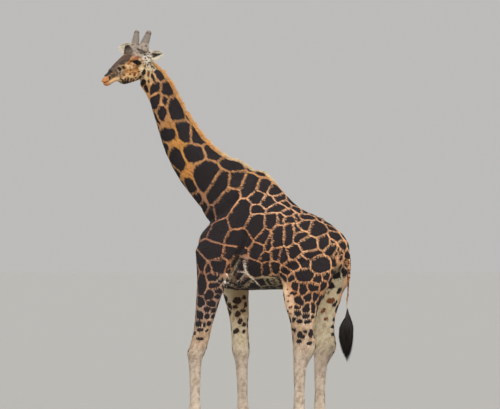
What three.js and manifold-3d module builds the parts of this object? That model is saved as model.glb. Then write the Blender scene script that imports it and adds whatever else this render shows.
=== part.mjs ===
// A life-size museum model of an adult bull Nubian (Rothschild's) giraffe, standing still with its
// neck slanted forward and its head turned to its left. Millimetres, +Z up, the giraffe faces -X,
// its left side is -Y and its hooves stand on z = 0.
// The flesh is modelled whole, as lofts joined into one body, and then parted with thin cuts.
import * as THREE from "three";
import { mergeVertices } from "three/addons/utils/BufferGeometryUtils.js";
import Module from "manifold-3d";

const wasm = await Module();
wasm.setup();

// ---- Driving dimensions ----
const GAP = 0.35; // left between neighbouring pieces
const LEFT = -1;
const RIGHT = 1;
const SIDES = [
  ["left", LEFT],
  ["right", RIGHT],
];

// Head, in its own frame: origin at the poll, -X towards the muzzle, -Y its left, +Z its crown.
const POLL = new THREE.Vector3(-1035, -345, 4612);
const HEAD_TURN = 58; // degrees from straight ahead towards the giraffe's left
const HEAD_NOD = 25.5; // muzzle below the poll
const HEAD_LEAN = 4; // left side lower
const EYE_AT = { forward: 272, out: 94, up: -4 };
const EYE_RADIUS = 27;
const NOSTRIL_AT = { forward: 658, out: 50, up: 38 };
const NOSTRIL_HALF = [24, 12, 8];
const BROW_AT = { forward: 300, out: 100, up: 71 };
const BROW_HALF = [78, 36, 42];
const OSSICONE_BASE = { forward: 140, out: 75, up: 100 };
const OSSICONE_TIP = { forward: -20, out: 121, up: 282 };
// The left ossicone's radius by its share of the length; the right one is slimmer.
const OSSICONE_RADII = [[0, 74], [0.26, 57], [0.52, 46], [0.78, 37], [0.9, 34], [0.97, 30], [1, 16]];
const RIGHT_OSSICONE_SIZE = 0.9;
const OSSICONE_DEPTH = 0.92; // front to back, against its width
const EAR_THICK = 11;
// Each ear's root, its tip, the way its opening faces and its half width, in the head's frame.
const EARS = {
  left_ear: { root: [-84, -82, -6], tip: [-9, -258, -4], face: [-0.8, -0.33, 0.48], half: 55 },
  right_ear: { root: [-84, 82, 34], tip: [-230, 210, 170], face: [-0.75, -0.35, 0.3], half: 70 },
};

// Mane, tail and tuft.
const MANE_TALL = 68;
const MANE_HALF_THICK = 19;
const TAIL_THIN = 17; // radius of the tail above its tuft
const TUFT_TOP = 1490;
const TUFT_END = 850;

// Feet.
const SOLE_FRONT = 165;
const SOLE_BACK = 98;
const SOLE_HALF_WIDE = 112;
const CORONET_FRONT = 132;
const CORONET_BACK = 84;
const CLEFT = 9;

// Colours.
const COAT = 0xb98a62;
const CREAM = 0xddcfc0;
const MANE_COLOUR = 0xc98b4c;
const DARK_HAIR = 0x1b1817;
const HORN = 0x6f655b;
const HOOF = 0x4a4038;
const EYE_COLOUR = 0x120d0b;

// Roughnesses.
const SHORT_HAIR = 0.85;
const LONG_HAIR = 0.95;
const HOOF_HORN = 0.6;
const WET = 0.08;

// ---- Making shapes ----
const UP = new THREE.Vector3(0, 0, 1);
const DOWN = new THREE.Vector3(0, 0, -1);
const FORWARD = new THREE.Vector3(-1, 0, 0);
const BACKWARD = new THREE.Vector3(1, 0, 0);

// One station of a loft: its middle, and its half sizes towards the loft's top, bottom and sides.
// ridge and keel narrow the top and the bottom half of the section; below zero they square it.
function station(x, y, z, up, down, out, ridge = 0, keel = 0) {
  return { middle: new THREE.Vector3(x, y, z), half: new THREE.Vector3(up, down, out), ridge, keel };
}

// The place, size and directions of a loft at t from 0 to 1. top says which way its top faces, and
// the sections of an upright loft stay level.
function frameOf(stations, top, upright = false) {
  const path = new THREE.CatmullRomCurve3(stations.map((s) => s.middle), false, "catmullrom", 0.5);
  const sizes = new THREE.CatmullRomCurve3(stations.map((s) => s.half), false, "catmullrom", 0.5);
  const bends = new THREE.CatmullRomCurve3(
    stations.map((s) => new THREE.Vector3(s.ridge, s.keel, 0)), false, "catmullrom", 0.5,
  );
  return (t) => {
    const tangent = upright ? DOWN : path.getTangent(t);
    const side = new THREE.Vector3().crossVectors(tangent, top).normalize();
    const up = new THREE.Vector3().crossVectors(side, tangent).normalize();
    const [middle, half, bend] = [path, sizes, bends].map((curve) => curve.getPoint(t));
    return { middle, half, bend, tangent, side, up };
  };
}

// A smooth closed body through stations: a cylinder whose rings are bent to them.
function loft(stations, { around, along, top = UP, grow = 0, upright = false }) {
  const frame = frameOf(stations, top, upright);
  const geometry = new THREE.CylinderGeometry(1, 1, 1, around, along);
  const at = geometry.attributes.position;
  for (let i = 0; i < at.count; i++) {
    const t = at.getY(i) + 0.5;
    const { middle, half, bend, tangent, side, up } = frame(t);
    const [out, rise] = [at.getX(i), at.getZ(i)];
    const past = t === 0 ? -grow : t === 1 ? grow : 0;
    const narrow = 1 + (rise > 0 ? bend.x * rise : -bend.y * rise);
    const height = rise > 0 ? rise * (half.x + grow) : rise * (half.y + grow);
    const width = Math.sign(out) * Math.abs(out) ** narrow * (half.z + grow);
    middle.addScaledVector(up, height).addScaledVector(side, width).addScaledVector(tangent, past);
    at.setXYZ(i, middle.x, middle.y, middle.z);
  }
  return solid(geometry);
}

// A three.js geometry as a solid.
function solid(geometry) {
  const bare = geometry.clone();
  bare.deleteAttribute("normal");
  bare.deleteAttribute("uv");
  const merged = mergeVertices(bare, 1e-3);
  const triVerts = new Uint32Array(merged.index.array);
  const mesh = { numProp: 3, vertProperties: merged.attributes.position.array, triVerts };
  return new wasm.Manifold(new wasm.Mesh(mesh));
}

// A ball squeezed to three half sizes, placed by a matrix.
const BALL_DETAIL = 10;
const RING_SHARE = 0.6; // rings of a ball for each of its sides
function ball(middle, [x, y, z], detail, frame = new THREE.Matrix4()) {
  const geometry = new THREE.SphereGeometry(1, detail, Math.round(detail * RING_SHARE));
  geometry.scale(x, y, z).translate(middle.x, middle.y, middle.z).applyMatrix4(frame);
  return solid(geometry);
}

// All that lies beyond a plane, as one large block. gap moves the plane back towards the point.
const BLOCK = 7000;
function beyond(point, normal, gap = 0) {
  const away = normal.clone().normalize();
  const turn = new THREE.Quaternion().setFromUnitVectors(UP, away);
  const middle = point.clone().addScaledVector(away, BLOCK / 2 - gap);
  const geometry = new THREE.BoxGeometry(BLOCK, BLOCK, BLOCK);
  geometry.applyQuaternion(turn).translate(middle.x, middle.y, middle.z);
  return solid(geometry);
}

// Parts a solid at the space where all the planes agree: what is inside it, and what is left.
function parted(whole, planes) {
  const space = (gap) =>
    planes.map(([point, normal]) => beyond(point, normal, gap)).reduce((a, b) => a.intersect(b));
  return [whole.intersect(space(0)), whole.subtract(space(GAP))];
}

const joined = (solids) => solids.reduce((a, b) => a.add(b));

// ---- Trunk ----
// x along the body, then the level of its widest part, and the reach up, down and out from there.
function trunkBody(grow) {
  const stations = [
    station(-500, 0, 2300, 90, 140, 90),
    station(-452, 0, 2300, 190, 270, 190),
    station(-360, 0, 2290, 330, 370, 250),
    station(-230, 0, 2275, 520, 450, 288, 0.1, -0.1),
    station(-70, 0, 2260, 740, 492, 325, 0.3, -0.15),
    station(90, 0, 2250, 925, 492, 352, 0.6, -0.15),
    station(210, 0, 2245, 962, 485, 368, 0.75, -0.15),
    station(350, 0, 2235, 862, 473, 380, 0.55, -0.15),
    station(500, 0, 2220, 704, 454, 388, 0.3, -0.15),
    station(670, 0, 2205, 577, 432, 388, 0.2, -0.1),
    station(860, 0, 2200, 506, 400, 368, 0.2, 0),
    station(1020, 0, 2210, 430, 330, 345, 0.15, 0),
    station(1180, 0, 2210, 305, 270, 300, 0, 0),
    station(1290, 0, 2200, 190, 210, 215, -0.2, 0),
    station(1338, 0, 2190, 90, 130, 130, -0.2, 0),
  ];
  return loft(stations, { around: 22, along: 18, grow });
}

// ---- Neck ----
// From the chest up to the head; the top of each station is the mane's side.
const NECK = [
  station(90, 0, 2560, 330, 300, 220),
  station(-40, 0, 2780, 420, 400, 240, 0.2),
  station(-172, -5, 2985, 392, 400, 222, 0.3),
  station(-300, -15, 3096, 296, 376, 192, 0.3),
  station(-474, -32, 3224, 276, 316, 166, 0.15),
  station(-644, -62, 3424, 246, 258, 140),
  station(-745, -105, 3616, 224, 224, 122),
  station(-818, -155, 3800, 196, 196, 108),
  station(-880, -208, 3982, 176, 176, 99),
  station(-945, -262, 4166, 158, 158, 92),
  station(-1048, -322, 4352, 146, 156, 88),
  station(-1072, -396, 4488, 92, 96, 64),
];
const neckBody = (grow) => loft(NECK, { around: 16, along: 18, grow });

// ---- Head, in its own frame ----
// Stations run from the poll to the lips.
const forward = (u, z, up, down, out, ridge = 0, keel = 0) =>
  station(-u, 0, z, up, down, out, ridge, keel);

const headFrame = new THREE.Matrix4()
  .makeTranslation(POLL)
  .multiply(new THREE.Matrix4().makeRotationZ(THREE.MathUtils.degToRad(HEAD_TURN)))
  .multiply(new THREE.Matrix4().makeRotationY(THREE.MathUtils.degToRad(-HEAD_NOD)))
  .multiply(new THREE.Matrix4().makeRotationX(THREE.MathUtils.degToRad(HEAD_LEAN)));

const onHead = ({ forward: u, out, up }, side) => new THREE.Vector3(-u, side * out, up);

function headBody(grow) {
  const skull = loft(
    [
      forward(-38, -50, 42, 50, 46),
      forward(0, -36, 86, 90, 80),
      forward(70, -26, 150, 110, 98, 0.35, 0.2),
      forward(150, -18, 180, 126, 105, 0.4, 0.2),
      forward(230, -8, 162, 126, 111, 0.35, 0.2),
      forward(300, 0, 148, 122, 109, 0.3, 0.2),
      forward(380, 2, 130, 112, 88, 0.15, 0.2),
      forward(460, 4, 108, 96, 70, 0, 0.2),
      forward(540, 4, 86, 72, 59),
      forward(615, -4, 62, 50, 54),
      forward(675, -14, 44, 44, 57, 0, -0.2),
      forward(725, -26, 29, 32, 54, 0, -0.2),
      forward(762, -34, 18, 24, 40),
      forward(779, -36, 9, 13, 20),
    ],
    { around: 16, along: 18, grow },
  );
  const jaw = loft(
    [
      forward(100, -105, 80, 108, 56, 0, 0.2),
      forward(180, -96, 110, 146, 86, 0, 0.3),
      forward(300, -88, 108, 146, 86, 0, 0.35),
      forward(400, -80, 96, 136, 72, 0, 0.35),
      forward(490, -72, 80, 124, 57, 0, 0.35),
      forward(550, -66, 56, 84, 47, 0, 0.3),
      forward(590, -70, 24, 44, 41),
      forward(640, -70, 14, 38, 39),
      forward(705, -70, 12, 45, 39),
      forward(752, -66, 10, 34, 30),
      forward(772, -62, 6, 16, 14),
    ],
    { around: 12, along: 13, grow },
  );
  const browHalf = BROW_HALF.map((half) => half + grow);
  const brows = SIDES.map(([, side]) => ball(onHead(BROW_AT, side), browHalf, BALL_DETAIL));
  return joined([skull, jaw, ...brows]).transform(headFrame.elements);
}

// ---- Legs ----
// A leg's cross sections by height: reach to the front, to the back and out. They are the same on
// both sides; only the middle line differs from leg to leg.
const FORE_SECTIONS = [
  [2780, 150, 150, 60],
  [2540, 215, 220, 104],
  [2300, 246, 270, 122],
  [2080, 222, 250, 124],
  [1880, 188, 208, 112],
  [1732, 166, 168, 104],
  [1492, 132, 132, 90],
  [1308, 112, 112, 80],
  [1132, 112, 112, 82],
  [1020, 118, 112, 90],
  [930, 90, 86, 74],
  [800, 74, 76, 60],
  [560, 63, 66, 54],
  [400, 64, 70, 56],
  [300, 80, 84, 72],
  [205, 74, 74, 70],
];
const HIND_SECTIONS = [
  [2480, 180, 160, 70],
  [2300, 280, 250, 116],
  [2080, 316, 310, 142],
  [1860, 310, 312, 142],
  [1732, 262, 258, 132],
  [1610, 230, 226, 116],
  [1492, 184, 184, 100],
  [1382, 152, 153, 88],
  [1250, 142, 142, 80],
  [1120, 146, 152, 84],
  [1040, 142, 142, 86],
  [950, 106, 108, 76],
  [860, 84, 84, 64],
  [700, 72, 72, 56],
  [460, 64, 66, 54],
  [300, 80, 84, 72],
  [205, 74, 74, 70],
];

// The middle line of each leg: x and y at each height, from the trunk to the fetlock.
const LEG_LINES = {
  front_left_leg: {
    sections: FORE_SECTIONS,
    line: [[2780, 60, -140], [2300, -226, -232], [1880, -262, -262], [1732, -291, -268], [1492, -337, -270],
      [1132, -415, -268], [1020, -458, -268], [930, -472, -268], [700, -476, -268], [300, -480, -268],
      [205, -502, -268]],
  },
  front_right_leg: {
    sections: FORE_SECTIONS,
    line: [[2780, 90, 140], [2300, -150, 232], [1880, -168, 254], [1732, -152, 256], [1492, -112, 256],
      [1132, -88, 254], [1020, -78, 254], [930, -74, 254], [700, -66, 254], [300, -58, 254],
      [205, -80, 254]],
  },
  hind_left_leg: {
    sections: HIND_SECTIONS,
    line: [[2480, 1030, -150], [2080, 968, -210], [1860, 932, -232], [1732, 892, -240], [1492, 873, -248],
      [1250, 886, -252], [1120, 905, -254], [1040, 900, -256], [950, 876, -258], [860, 852, -258],
      [700, 846, -258], [300, 838, -258], [205, 816, -258]],
  },
  hind_right_leg: {
    sections: HIND_SECTIONS,
    line: [[2480, 1040, 150], [2080, 1010, 210], [1860, 990, 228], [1732, 968, 234], [1492, 956, 240],
      [1250, 974, 244], [1120, 988, 246], [1040, 984, 248], [950, 960, 250], [860, 937, 250],
      [700, 930, 250], [300, 922, 250], [205, 900, 250]],
  },
};

// Straight-line reading of a leg's middle line at a height.
function middleAt(line, z) {
  const below = Math.min(Math.max(line.findIndex((point) => point[0] <= z), 1), line.length - 1);
  const [[z0, x0, y0], [z1, x1, y1]] = [line[below - 1], line[below]];
  const share = (z0 - z) / (z0 - z1);
  return [x0 + share * (x1 - x0), y0 + share * (y1 - y0)];
}

// The foot under the fetlock: pastern and both claws as one, from the ankle down to the sole.
function footStations(ankleX, ankleY) {
  const rows = [
    [CORONET_FRONT, 30, 92, 86, 86],
    [104, 38, 108, 88, 94],
    [52, 46, 136, 92, 104],
    [0, 52, SOLE_FRONT, SOLE_BACK, SOLE_HALF_WIDE],
  ];
  return rows.map(([z, ahead, front, back, out]) =>
    station(ankleX - ahead, ankleY, z, front, back, out, -0.1, -0.3),
  );
}

function legBody(name, grow) {
  const { sections, line } = LEG_LINES[name];
  const stations = sections.map(([z, front, back, out]) => {
    const [x, y] = middleAt(line, z);
    return station(x, y, z, front, back, out);
  });
  const [ankleX, ankleY] = middleAt(line, sections.at(-1)[0]);
  stations.push(...footStations(ankleX, ankleY));
  return loft(stations, { around: 12, along: 25, top: FORWARD, grow, upright: true });
}

// ---- The whole body, and the cuts that part it ----
const wholeBody = (grow) =>
  joined([
    trunkBody(grow),
    neckBody(grow),
    headBody(grow),
    ...Object.keys(LEG_LINES).map((name) => legBody(name, grow)),
  ]);

const group = new THREE.Group();
const placed = [];

// Adds a solid to the group as a named mesh.
function add(name, body, color, roughness = SHORT_HAIR) {
  const { vertProperties, triVerts, numProp } = body.getMesh();
  const geometry = new THREE.BufferGeometry();
  const xyz = new Float32Array((vertProperties.length / numProp) * 3);
  for (let i = 0; i < xyz.length / 3; i++)
    xyz.set(vertProperties.subarray(i * numProp, i * numProp + 3), i * 3);
  geometry.setAttribute("position", new THREE.BufferAttribute(xyz, 3));
  geometry.setIndex(new THREE.BufferAttribute(new Uint32Array(triVerts), 1));
  geometry.computeVertexNormals();
  const mesh = new THREE.Mesh(geometry, new THREE.MeshStandardMaterial({ color, roughness, metalness: 0 }));
  mesh.name = name;
  group.add(mesh);
  placed.push(mesh);
}

const point = (x, y, z) => new THREE.Vector3(x, y, z);
const whole = wholeBody(0);
const clearance = wholeBody(GAP); // the same body a gap larger, to cut what sits on it

// Head from neck: behind the poll and under the angle of the jaw.
const NAPE = point(58, 0, -40).applyMatrix4(headFrame);
const HEAD_WAY = point(-0.6, 0, 0.8).transformDirection(headFrame);
let [head, body] = parted(whole, [[NAPE, HEAD_WAY]]);

// Neck from trunk: from the front of the withers down to the breast.
const WITHERS_FRONT = point(150, 0, 3200);
const BREAST_TOP = point(-400, 0, 2600);
const NECK_WAY = point(-(WITHERS_FRONT.z - BREAST_TOP.z), 0, WITHERS_FRONT.x - BREAST_TOP.x);
let neck;
[neck, body] = parted(body, [[BREAST_TOP, NECK_WAY]]);
const NECK_HALFWAY = point(-745, -105, 3616);
const UPPER_NECK_WAY = point(-0.42, -0.25, 0.87);
const [neckUpper, neckLower] = parted(neck, [[NECK_HALFWAY, UPPER_NECK_WAY]]);

// Each leg from the trunk: under a plane that rises from the midline outwards, and to one side of
// an upright plane in the elbow's or the flank's fold.
const LEG_CUT_LOW = 1735; // height of that plane at the midline
const LEG_CUT_RISE = 1.45; // and how fast it rises outwards
const FOLDS = {
  front_left_leg: [LEFT, point(40, 0, LEG_CUT_LOW), FORWARD],
  front_right_leg: [RIGHT, point(110, 0, LEG_CUT_LOW), FORWARD],
  hind_left_leg: [LEFT, point(600, 0, LEG_CUT_LOW), point(1, 0, -0.32)],
  hind_right_leg: [RIGHT, point(640, 0, LEG_CUT_LOW), point(1, 0, -0.32)],
};
const legs = {};
for (const [name, [side, fold, way]] of Object.entries(FOLDS)) {
  [legs[name], body] = parted(body, [
    [point(0, side * GAP, 0), point(0, side, 0)],
    [point(0, 0, LEG_CUT_LOW), point(0, side * LEG_CUT_RISE, -1)],
    [fold, way],
  ]);
}

// ---- Eyes and nostrils ----
const EYE_DETAIL = 12;
const NOSTRIL_DETAIL = 8;
for (const [name, side] of SIDES) {
  const middle = onHead(EYE_AT, side).applyMatrix4(headFrame);
  const eye = (radius) => ball(middle, [radius, radius, radius], EYE_DETAIL);
  const nostril = ball(onHead(NOSTRIL_AT, side), NOSTRIL_HALF, NOSTRIL_DETAIL, headFrame);
  head = head.subtract(eye(EYE_RADIUS + GAP)).subtract(nostril);
  add(`${name}_eye`, eye(EYE_RADIUS), EYE_COLOUR, WET);
}

// ---- Ossicones ----
function ossicone(side, grow) {
  const foot = onHead(OSSICONE_BASE, side);
  const tip = onHead(OSSICONE_TIP, side);
  const size = side === RIGHT ? RIGHT_OSSICONE_SIZE : 1;
  const stations = OSSICONE_RADII.map(([share, radius]) => {
    const at = foot.clone().lerp(tip, share);
    return station(at.x, at.y, at.z, radius * size, radius * size, radius * size * OSSICONE_DEPTH);
  });
  return loft(stations, { around: 10, along: 8, top: FORWARD, grow }).transform(headFrame.elements);
}
for (const [name, side] of SIDES)
  add(`${name}_ossicone`, ossicone(side, 0).subtract(clearance), HORN);
const lump = loft(
  [
    station(-286, 0, 80, 72, 72, 64),
    station(-286, 0, 140, 62, 62, 56),
    station(-282, 0, 172, 49, 50, 44),
    station(-276, 0, 204, 41, 43, 37),
    station(-271, 0, 226, 30, 32, 28),
    station(-268, 0, 236, 14, 14, 13),
  ],
  { around: 10, along: 6, top: FORWARD },
);
add("median_ossicone", lump.transform(headFrame.elements).subtract(clearance), DARK_HAIR, LONG_HAIR);

// ---- Ears ----
// How wide an ear is along its length, as shares of its length and of its half width.
const EAR_OUTLINE = [[0, 0.42], [0.14, 0.62], [0.34, 0.95], [0.52, 1], [0.72, 0.78], [0.88, 0.42], [1, 0.08]];
const EAR_CUP = 24; // how deep the widest part is cupped
const EAR_RIM = 10;
const EAR_TIP_FLAT = 0.45; // how much the cup flattens towards the tip

// A leaf bent to a cup, from its root to its tip.
function ear({ root, tip, face, half: halfWide }) {
  const [from, to] = [point(...root), point(...tip)];
  const stations = EAR_OUTLINE.map(([share, wide]) => {
    const at = from.clone().lerp(to, share);
    const depth = EAR_RIM + EAR_CUP * wide * (1 - EAR_TIP_FLAT * share);
    return station(at.x, at.y, at.z, depth, depth - EAR_THICK, halfWide * wide);
  });
  const frame = frameOf(stations, point(...face));
  const geometry = new THREE.CylinderGeometry(1, 1, 1, 10, 7);
  const at = geometry.attributes.position;
  for (let i = 0; i < at.count; i++) {
    const { middle, half, side, up } = frame(at.getY(i) + 0.5);
    const [out, rise] = [at.getX(i), at.getZ(i)];
    const back = rise > 0 ? -rise * Math.max(half.y, 1) : rise * half.x;
    const spot = middle.clone().addScaledVector(up, back).addScaledVector(side, out * half.z);
    at.setXYZ(i, spot.x, spot.y, spot.z);
  }
  return solid(geometry);
}
const besideEars = joined([clearance, ossicone(LEFT, GAP), ossicone(RIGHT, GAP)]);
for (const [name, sizes] of Object.entries(EARS))
  add(name, ear(sizes).transform(headFrame.elements).subtract(besideEars), CREAM);

// ---- Mane ----
// A brush that stands on the top line of the neck, from the withers to the poll. Its ends are told
// by the number of the neck's station, and its height rises from LOW and falls to TOP there.
const MANE_FROM = 2.02;
const MANE_TO = 10.9;
const MANE_STEPS = 22;
const MANE_SUNK = 12;
const MANE_LOW = 0.25;
const MANE_RISE = 2.6;
const MANE_TOP = 0.55;
const MANE_FALL = 2.4;
function mane() {
  const frame = frameOf(NECK, UP);
  const [from, to] = [MANE_FROM, MANE_TO].map((number) => number / (NECK.length - 1));
  const stations = [];
  for (let i = 0; i <= MANE_STEPS; i++) {
    const share = i / MANE_STEPS;
    const { middle, half, up } = frame(from + share * (to - from));
    const tall = MANE_TALL * Math.min(1, MANE_LOW + share * MANE_RISE, MANE_TOP + (1 - share) * MANE_FALL);
    const at = middle.clone().addScaledVector(up, half.x + tall / 2 - MANE_SUNK);
    const high = tall / 2 + MANE_SUNK;
    stations.push(station(at.x, at.y, at.z, high, high, MANE_HALF_THICK, 0.5, -0.5));
  }
  return loft(stations, { around: 6, along: 18 });
}
add("mane", mane().subtract(clearance), MANE_COLOUR, LONG_HAIR);

// ---- Tail ----
const TAIL = [
  station(1180, 0, 2350, 60, 60, 60),
  station(1275, 0, 2310, 60, 58, 62),
  station(1340, 0, 2225, 46, 44, 48),
  station(1372, 0, 2110, 31, 30, 32),
  station(1378, 0, 1980, 22, 22, 23),
  station(1362, 0, 1740, TAIL_THIN, TAIL_THIN, TAIL_THIN),
  station(1356, 0, 1560, TAIL_THIN - 2, TAIL_THIN - 2, TAIL_THIN - 2),
  station(1362, 0, TUFT_TOP, 18, 18, 18),
  station(1358, 0, 1420, 46, 46, 40),
  station(1344, 0, 1330, 84, 82, 66),
  station(1340, 0, 1200, 82, 80, 64),
  station(1348, 0, 1060, 56, 54, 46),
  station(1356, 0, 930, 26, 24, 22),
  station(1360, 0, TUFT_END, 8, 8, 8),
];
const wholeTail = loft(TAIL, { around: 8, along: 24, top: BACKWARD, upright: true }).subtract(clearance);
const [tuft, tail] = parted(wholeTail, [[point(1360, 0, TUFT_TOP), point(0, 0, -1)]]);
add("tail", tail, COAT);
add("tail_tuft", tuft, DARK_HAIR, LONG_HAIR);

// ---- Feet ----
// The coronet plane parts the hoof from the leg, and the cleft parts its two claws.
for (const [name, { sections, line }] of Object.entries(LEG_LINES)) {
  const [ankleX, ankleY] = middleAt(line, sections.at(-1)[0]);
  const length = SOLE_FRONT + SOLE_BACK;
  const slope = (CORONET_FRONT - CORONET_BACK) / length;
  const coronet = point(ankleX - SOLE_FRONT, ankleY, CORONET_FRONT);
  const [hoof, leg] = parted(legs[name], [[coronet, point(-slope, 0, -1)]]);
  add(name, leg, COAT);
  for (const [side, way] of [["outer", Math.sign(ankleY)], ["inner", -Math.sign(ankleY)]]) {
    const claw = hoof.intersect(beyond(point(0, ankleY + (way * CLEFT) / 2, 0), point(0, way, 0)));
    add(`${name.replace("leg", "hoof")}_${side}`, claw, HOOF, HOOF_HORN);
  }
}

add("head", head, COAT);
add("neck_upper", neckUpper, COAT);
add("neck_lower", neckLower, COAT);
add("trunk", body, COAT);

// The origin is under the middle of the whole, on the floor.
const box = new THREE.Box3().setFromObject(group);
const middle = box.getCenter(new THREE.Vector3());
for (const mesh of placed) mesh.geometry.translate(-middle.x, -middle.y, -box.min.z);

export default group;
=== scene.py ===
"""A giraffe as a still, life-size museum model: skin, coat, mane, horns, eyes, hooves and stage."""

import math

import bmesh
import bpy
import numpy as np
from bpy.props import FloatProperty, FloatVectorProperty, PointerProperty
from mathutils import Matrix, Vector
from mathutils.bvhtree import BVHTree


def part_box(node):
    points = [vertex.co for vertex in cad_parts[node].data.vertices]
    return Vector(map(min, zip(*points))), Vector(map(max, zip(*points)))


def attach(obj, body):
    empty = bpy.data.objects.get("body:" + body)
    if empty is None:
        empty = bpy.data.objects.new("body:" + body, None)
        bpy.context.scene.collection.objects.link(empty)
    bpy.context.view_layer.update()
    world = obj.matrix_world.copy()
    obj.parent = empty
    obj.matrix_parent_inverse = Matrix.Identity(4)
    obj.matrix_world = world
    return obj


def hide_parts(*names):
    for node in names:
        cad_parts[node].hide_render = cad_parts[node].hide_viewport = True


bl_info = {
    "name": "Giraffe model",
    "version": (1, 0, 0),
    "blender": (4, 5, 0),
    "location": "3D View > Sidebar > Giraffe",
    "description": "Builds the skin, coat, mane, horns, eyes and hooves of a life-size giraffe",
    "category": "Object",
}

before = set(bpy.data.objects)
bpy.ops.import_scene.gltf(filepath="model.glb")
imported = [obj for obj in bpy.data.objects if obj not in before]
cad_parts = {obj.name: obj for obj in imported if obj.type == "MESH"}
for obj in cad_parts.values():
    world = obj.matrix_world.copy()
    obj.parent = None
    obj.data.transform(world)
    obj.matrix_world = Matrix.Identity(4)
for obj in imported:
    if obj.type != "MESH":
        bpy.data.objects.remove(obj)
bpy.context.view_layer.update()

# ---- Places, in metres ----
FLESH = (
    "neck_lower", "trunk", "front_left_leg", "front_right_leg", "hind_left_leg", "hind_right_leg", "tail"
)
HEAD_FLESH = ("head", "left_ear", "right_ear")
HORNS = ("left_ossicone", "right_ossicone")
SIDE_TURN = math.radians(20)  # the chart and the camera look from this far behind the left side
SQUARE = 0.012  # one square of the marking chart
CHART_FOOT = 437  # the chart's row at the floor
CHART_MIDDLE = 250  # the chart's column at ALONG_MIDDLE
ALONG_MIDDLE = 0.214
DEPTH_MIDDLE = 0.2596
CAMERA_AWAY = 45.0
CAMERA_HIGH = 2.2
AIM_HIGH = 2.79
MIDDLE_Y = 0.276  # the body's own plane of symmetry

POLL = Vector((-1.03542, -0.06892, 4.612))
HEAD_TURN, HEAD_NOD, HEAD_LEAN = 58, 25.5, 4
EYE_FORWARD, EYE_OUT, EYE_UP = 0.272, 0.094, -0.004
EYE_RADIUS = 0.027
EYE_SEGMENTS, EYE_RINGS = 48, 32
MARK_SEED, COAT_SEED, MANE_SEED, TUFT_SEED, FACE_SEED, HORN_SEED = 4, 11, 21, 31, 41, 51

ALONG = Vector((math.cos(SIDE_TURN), math.sin(SIDE_TURN), 0))
AWAY = Vector((-math.sin(SIDE_TURN), math.cos(SIDE_TURN), 0))
UP = Vector((0, 0, 1))


def head_matrix():
    """The head's own frame: x back from the muzzle, y to its right, z to the crown."""
    turn = Matrix.Rotation(math.radians(HEAD_TURN), 4, "Z")
    nod = Matrix.Rotation(math.radians(-HEAD_NOD), 4, "Y")
    lean = Matrix.Rotation(math.radians(HEAD_LEAN), 4, "X")
    return Matrix.Translation(POLL) @ turn @ nod @ lean


HEAD = head_matrix()


def head_point(forward, out, up):
    """A place on the head: forward to the muzzle, out to its left, up to the crown."""
    return HEAD @ Vector((-forward, -out, up))


def linear(code):
    """An sRGB hex value as a linear colour."""
    parts = [int(code[i:i + 2], 16) / 255 for i in (1, 3, 5)]
    return [c / 12.92 if c <= 0.04045 else ((c + 0.055) / 1.055) ** 2.4 for c in parts]


# ---- Mesh tools ----
def object_from(name, vertices, faces):
    """A new piece from arrays of vertices and of faces, all of one size."""
    mesh = bpy.data.meshes.new(name)
    vertices = np.asarray(vertices, np.float32)
    faces = np.asarray(faces, np.int32)
    sides = faces.shape[1]
    mesh.vertices.add(len(vertices))
    mesh.vertices.foreach_set("co", vertices.ravel())
    mesh.loops.add(faces.size)
    mesh.loops.foreach_set("vertex_index", faces.ravel())
    mesh.polygons.add(len(faces))
    mesh.polygons.foreach_set("loop_start", np.arange(len(faces), dtype=np.int32) * sides)
    mesh.update(calc_edges=True)
    mesh.validate()
    piece = bpy.data.objects.new(name, mesh)
    bpy.context.scene.collection.objects.link(piece)
    mesh.polygons.foreach_set("use_smooth", np.ones(len(mesh.polygons), bool))
    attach(piece, "root")
    return piece


def places(mesh):
    """The vertices of a mesh as an array."""
    out = np.empty(len(mesh.vertices) * 3, np.float32)
    mesh.vertices.foreach_get("co", out)
    return out.reshape(-1, 3).astype(float)


def normals_of(mesh):
    """The vertex normals of a mesh as an array."""
    out = np.empty(len(mesh.vertices) * 3, np.float32)
    mesh.vertex_normals.foreach_get("vector", out)
    return out.reshape(-1, 3).astype(float)


def set_places(mesh, where):
    """Moves all vertices of a mesh."""
    mesh.vertices.foreach_set("co", np.asarray(where, np.float32).ravel())
    mesh.update()


def unit(vectors):
    """Vectors scaled to length one."""
    size = np.linalg.norm(vectors, axis=-1, keepdims=True)
    return vectors / np.maximum(size, 1e-12)


def smooth_step(low, high, value):
    """0 below low, 1 above high, and a soft rise between."""
    share = np.clip((value - low) / (high - low), 0, 1)
    return share * share * (3 - 2 * share)


def add_values(piece, name, values, kind="FLOAT"):
    """Stores one value, vector or colour for each vertex."""
    layer = piece.data.attributes.new(name, kind, "POINT")
    key = {"FLOAT": "value", "FLOAT_VECTOR": "vector", "FLOAT_COLOR": "color"}[kind]
    if kind == "FLOAT_COLOR":
        values = np.column_stack([values, np.ones(len(values))])
    layer.data.foreach_set(key, np.asarray(values, np.float32).ravel())


def edges_of(mesh):
    """The edges of a mesh as pairs of vertex numbers."""
    out = np.empty(len(mesh.edges) * 2, np.int32)
    mesh.edges.foreach_get("vertices", out)
    return out.reshape(-1, 2)


def relax(where, edges, rounds, weight=1.0, keep=1.03):
    """Taubin smoothing: each round pulls the vertices in and pushes them out again."""
    count = len(where)
    one, two = edges[:, 0], edges[:, 1]
    ends = np.concatenate([one, two])
    others = np.concatenate([two, one])
    share = 1 / np.maximum(np.bincount(ends, minlength=count), 1)
    where = where.copy()
    weight = np.broadcast_to(np.asarray(weight, float), (count,))
    for _ in range(rounds):
        for pull in (0.6, -0.6 * keep):
            for axis in range(3):
                mean = np.bincount(ends, where[others, axis], count) * share
                where[:, axis] += pull * weight * (mean - where[:, axis])
    return where


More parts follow.
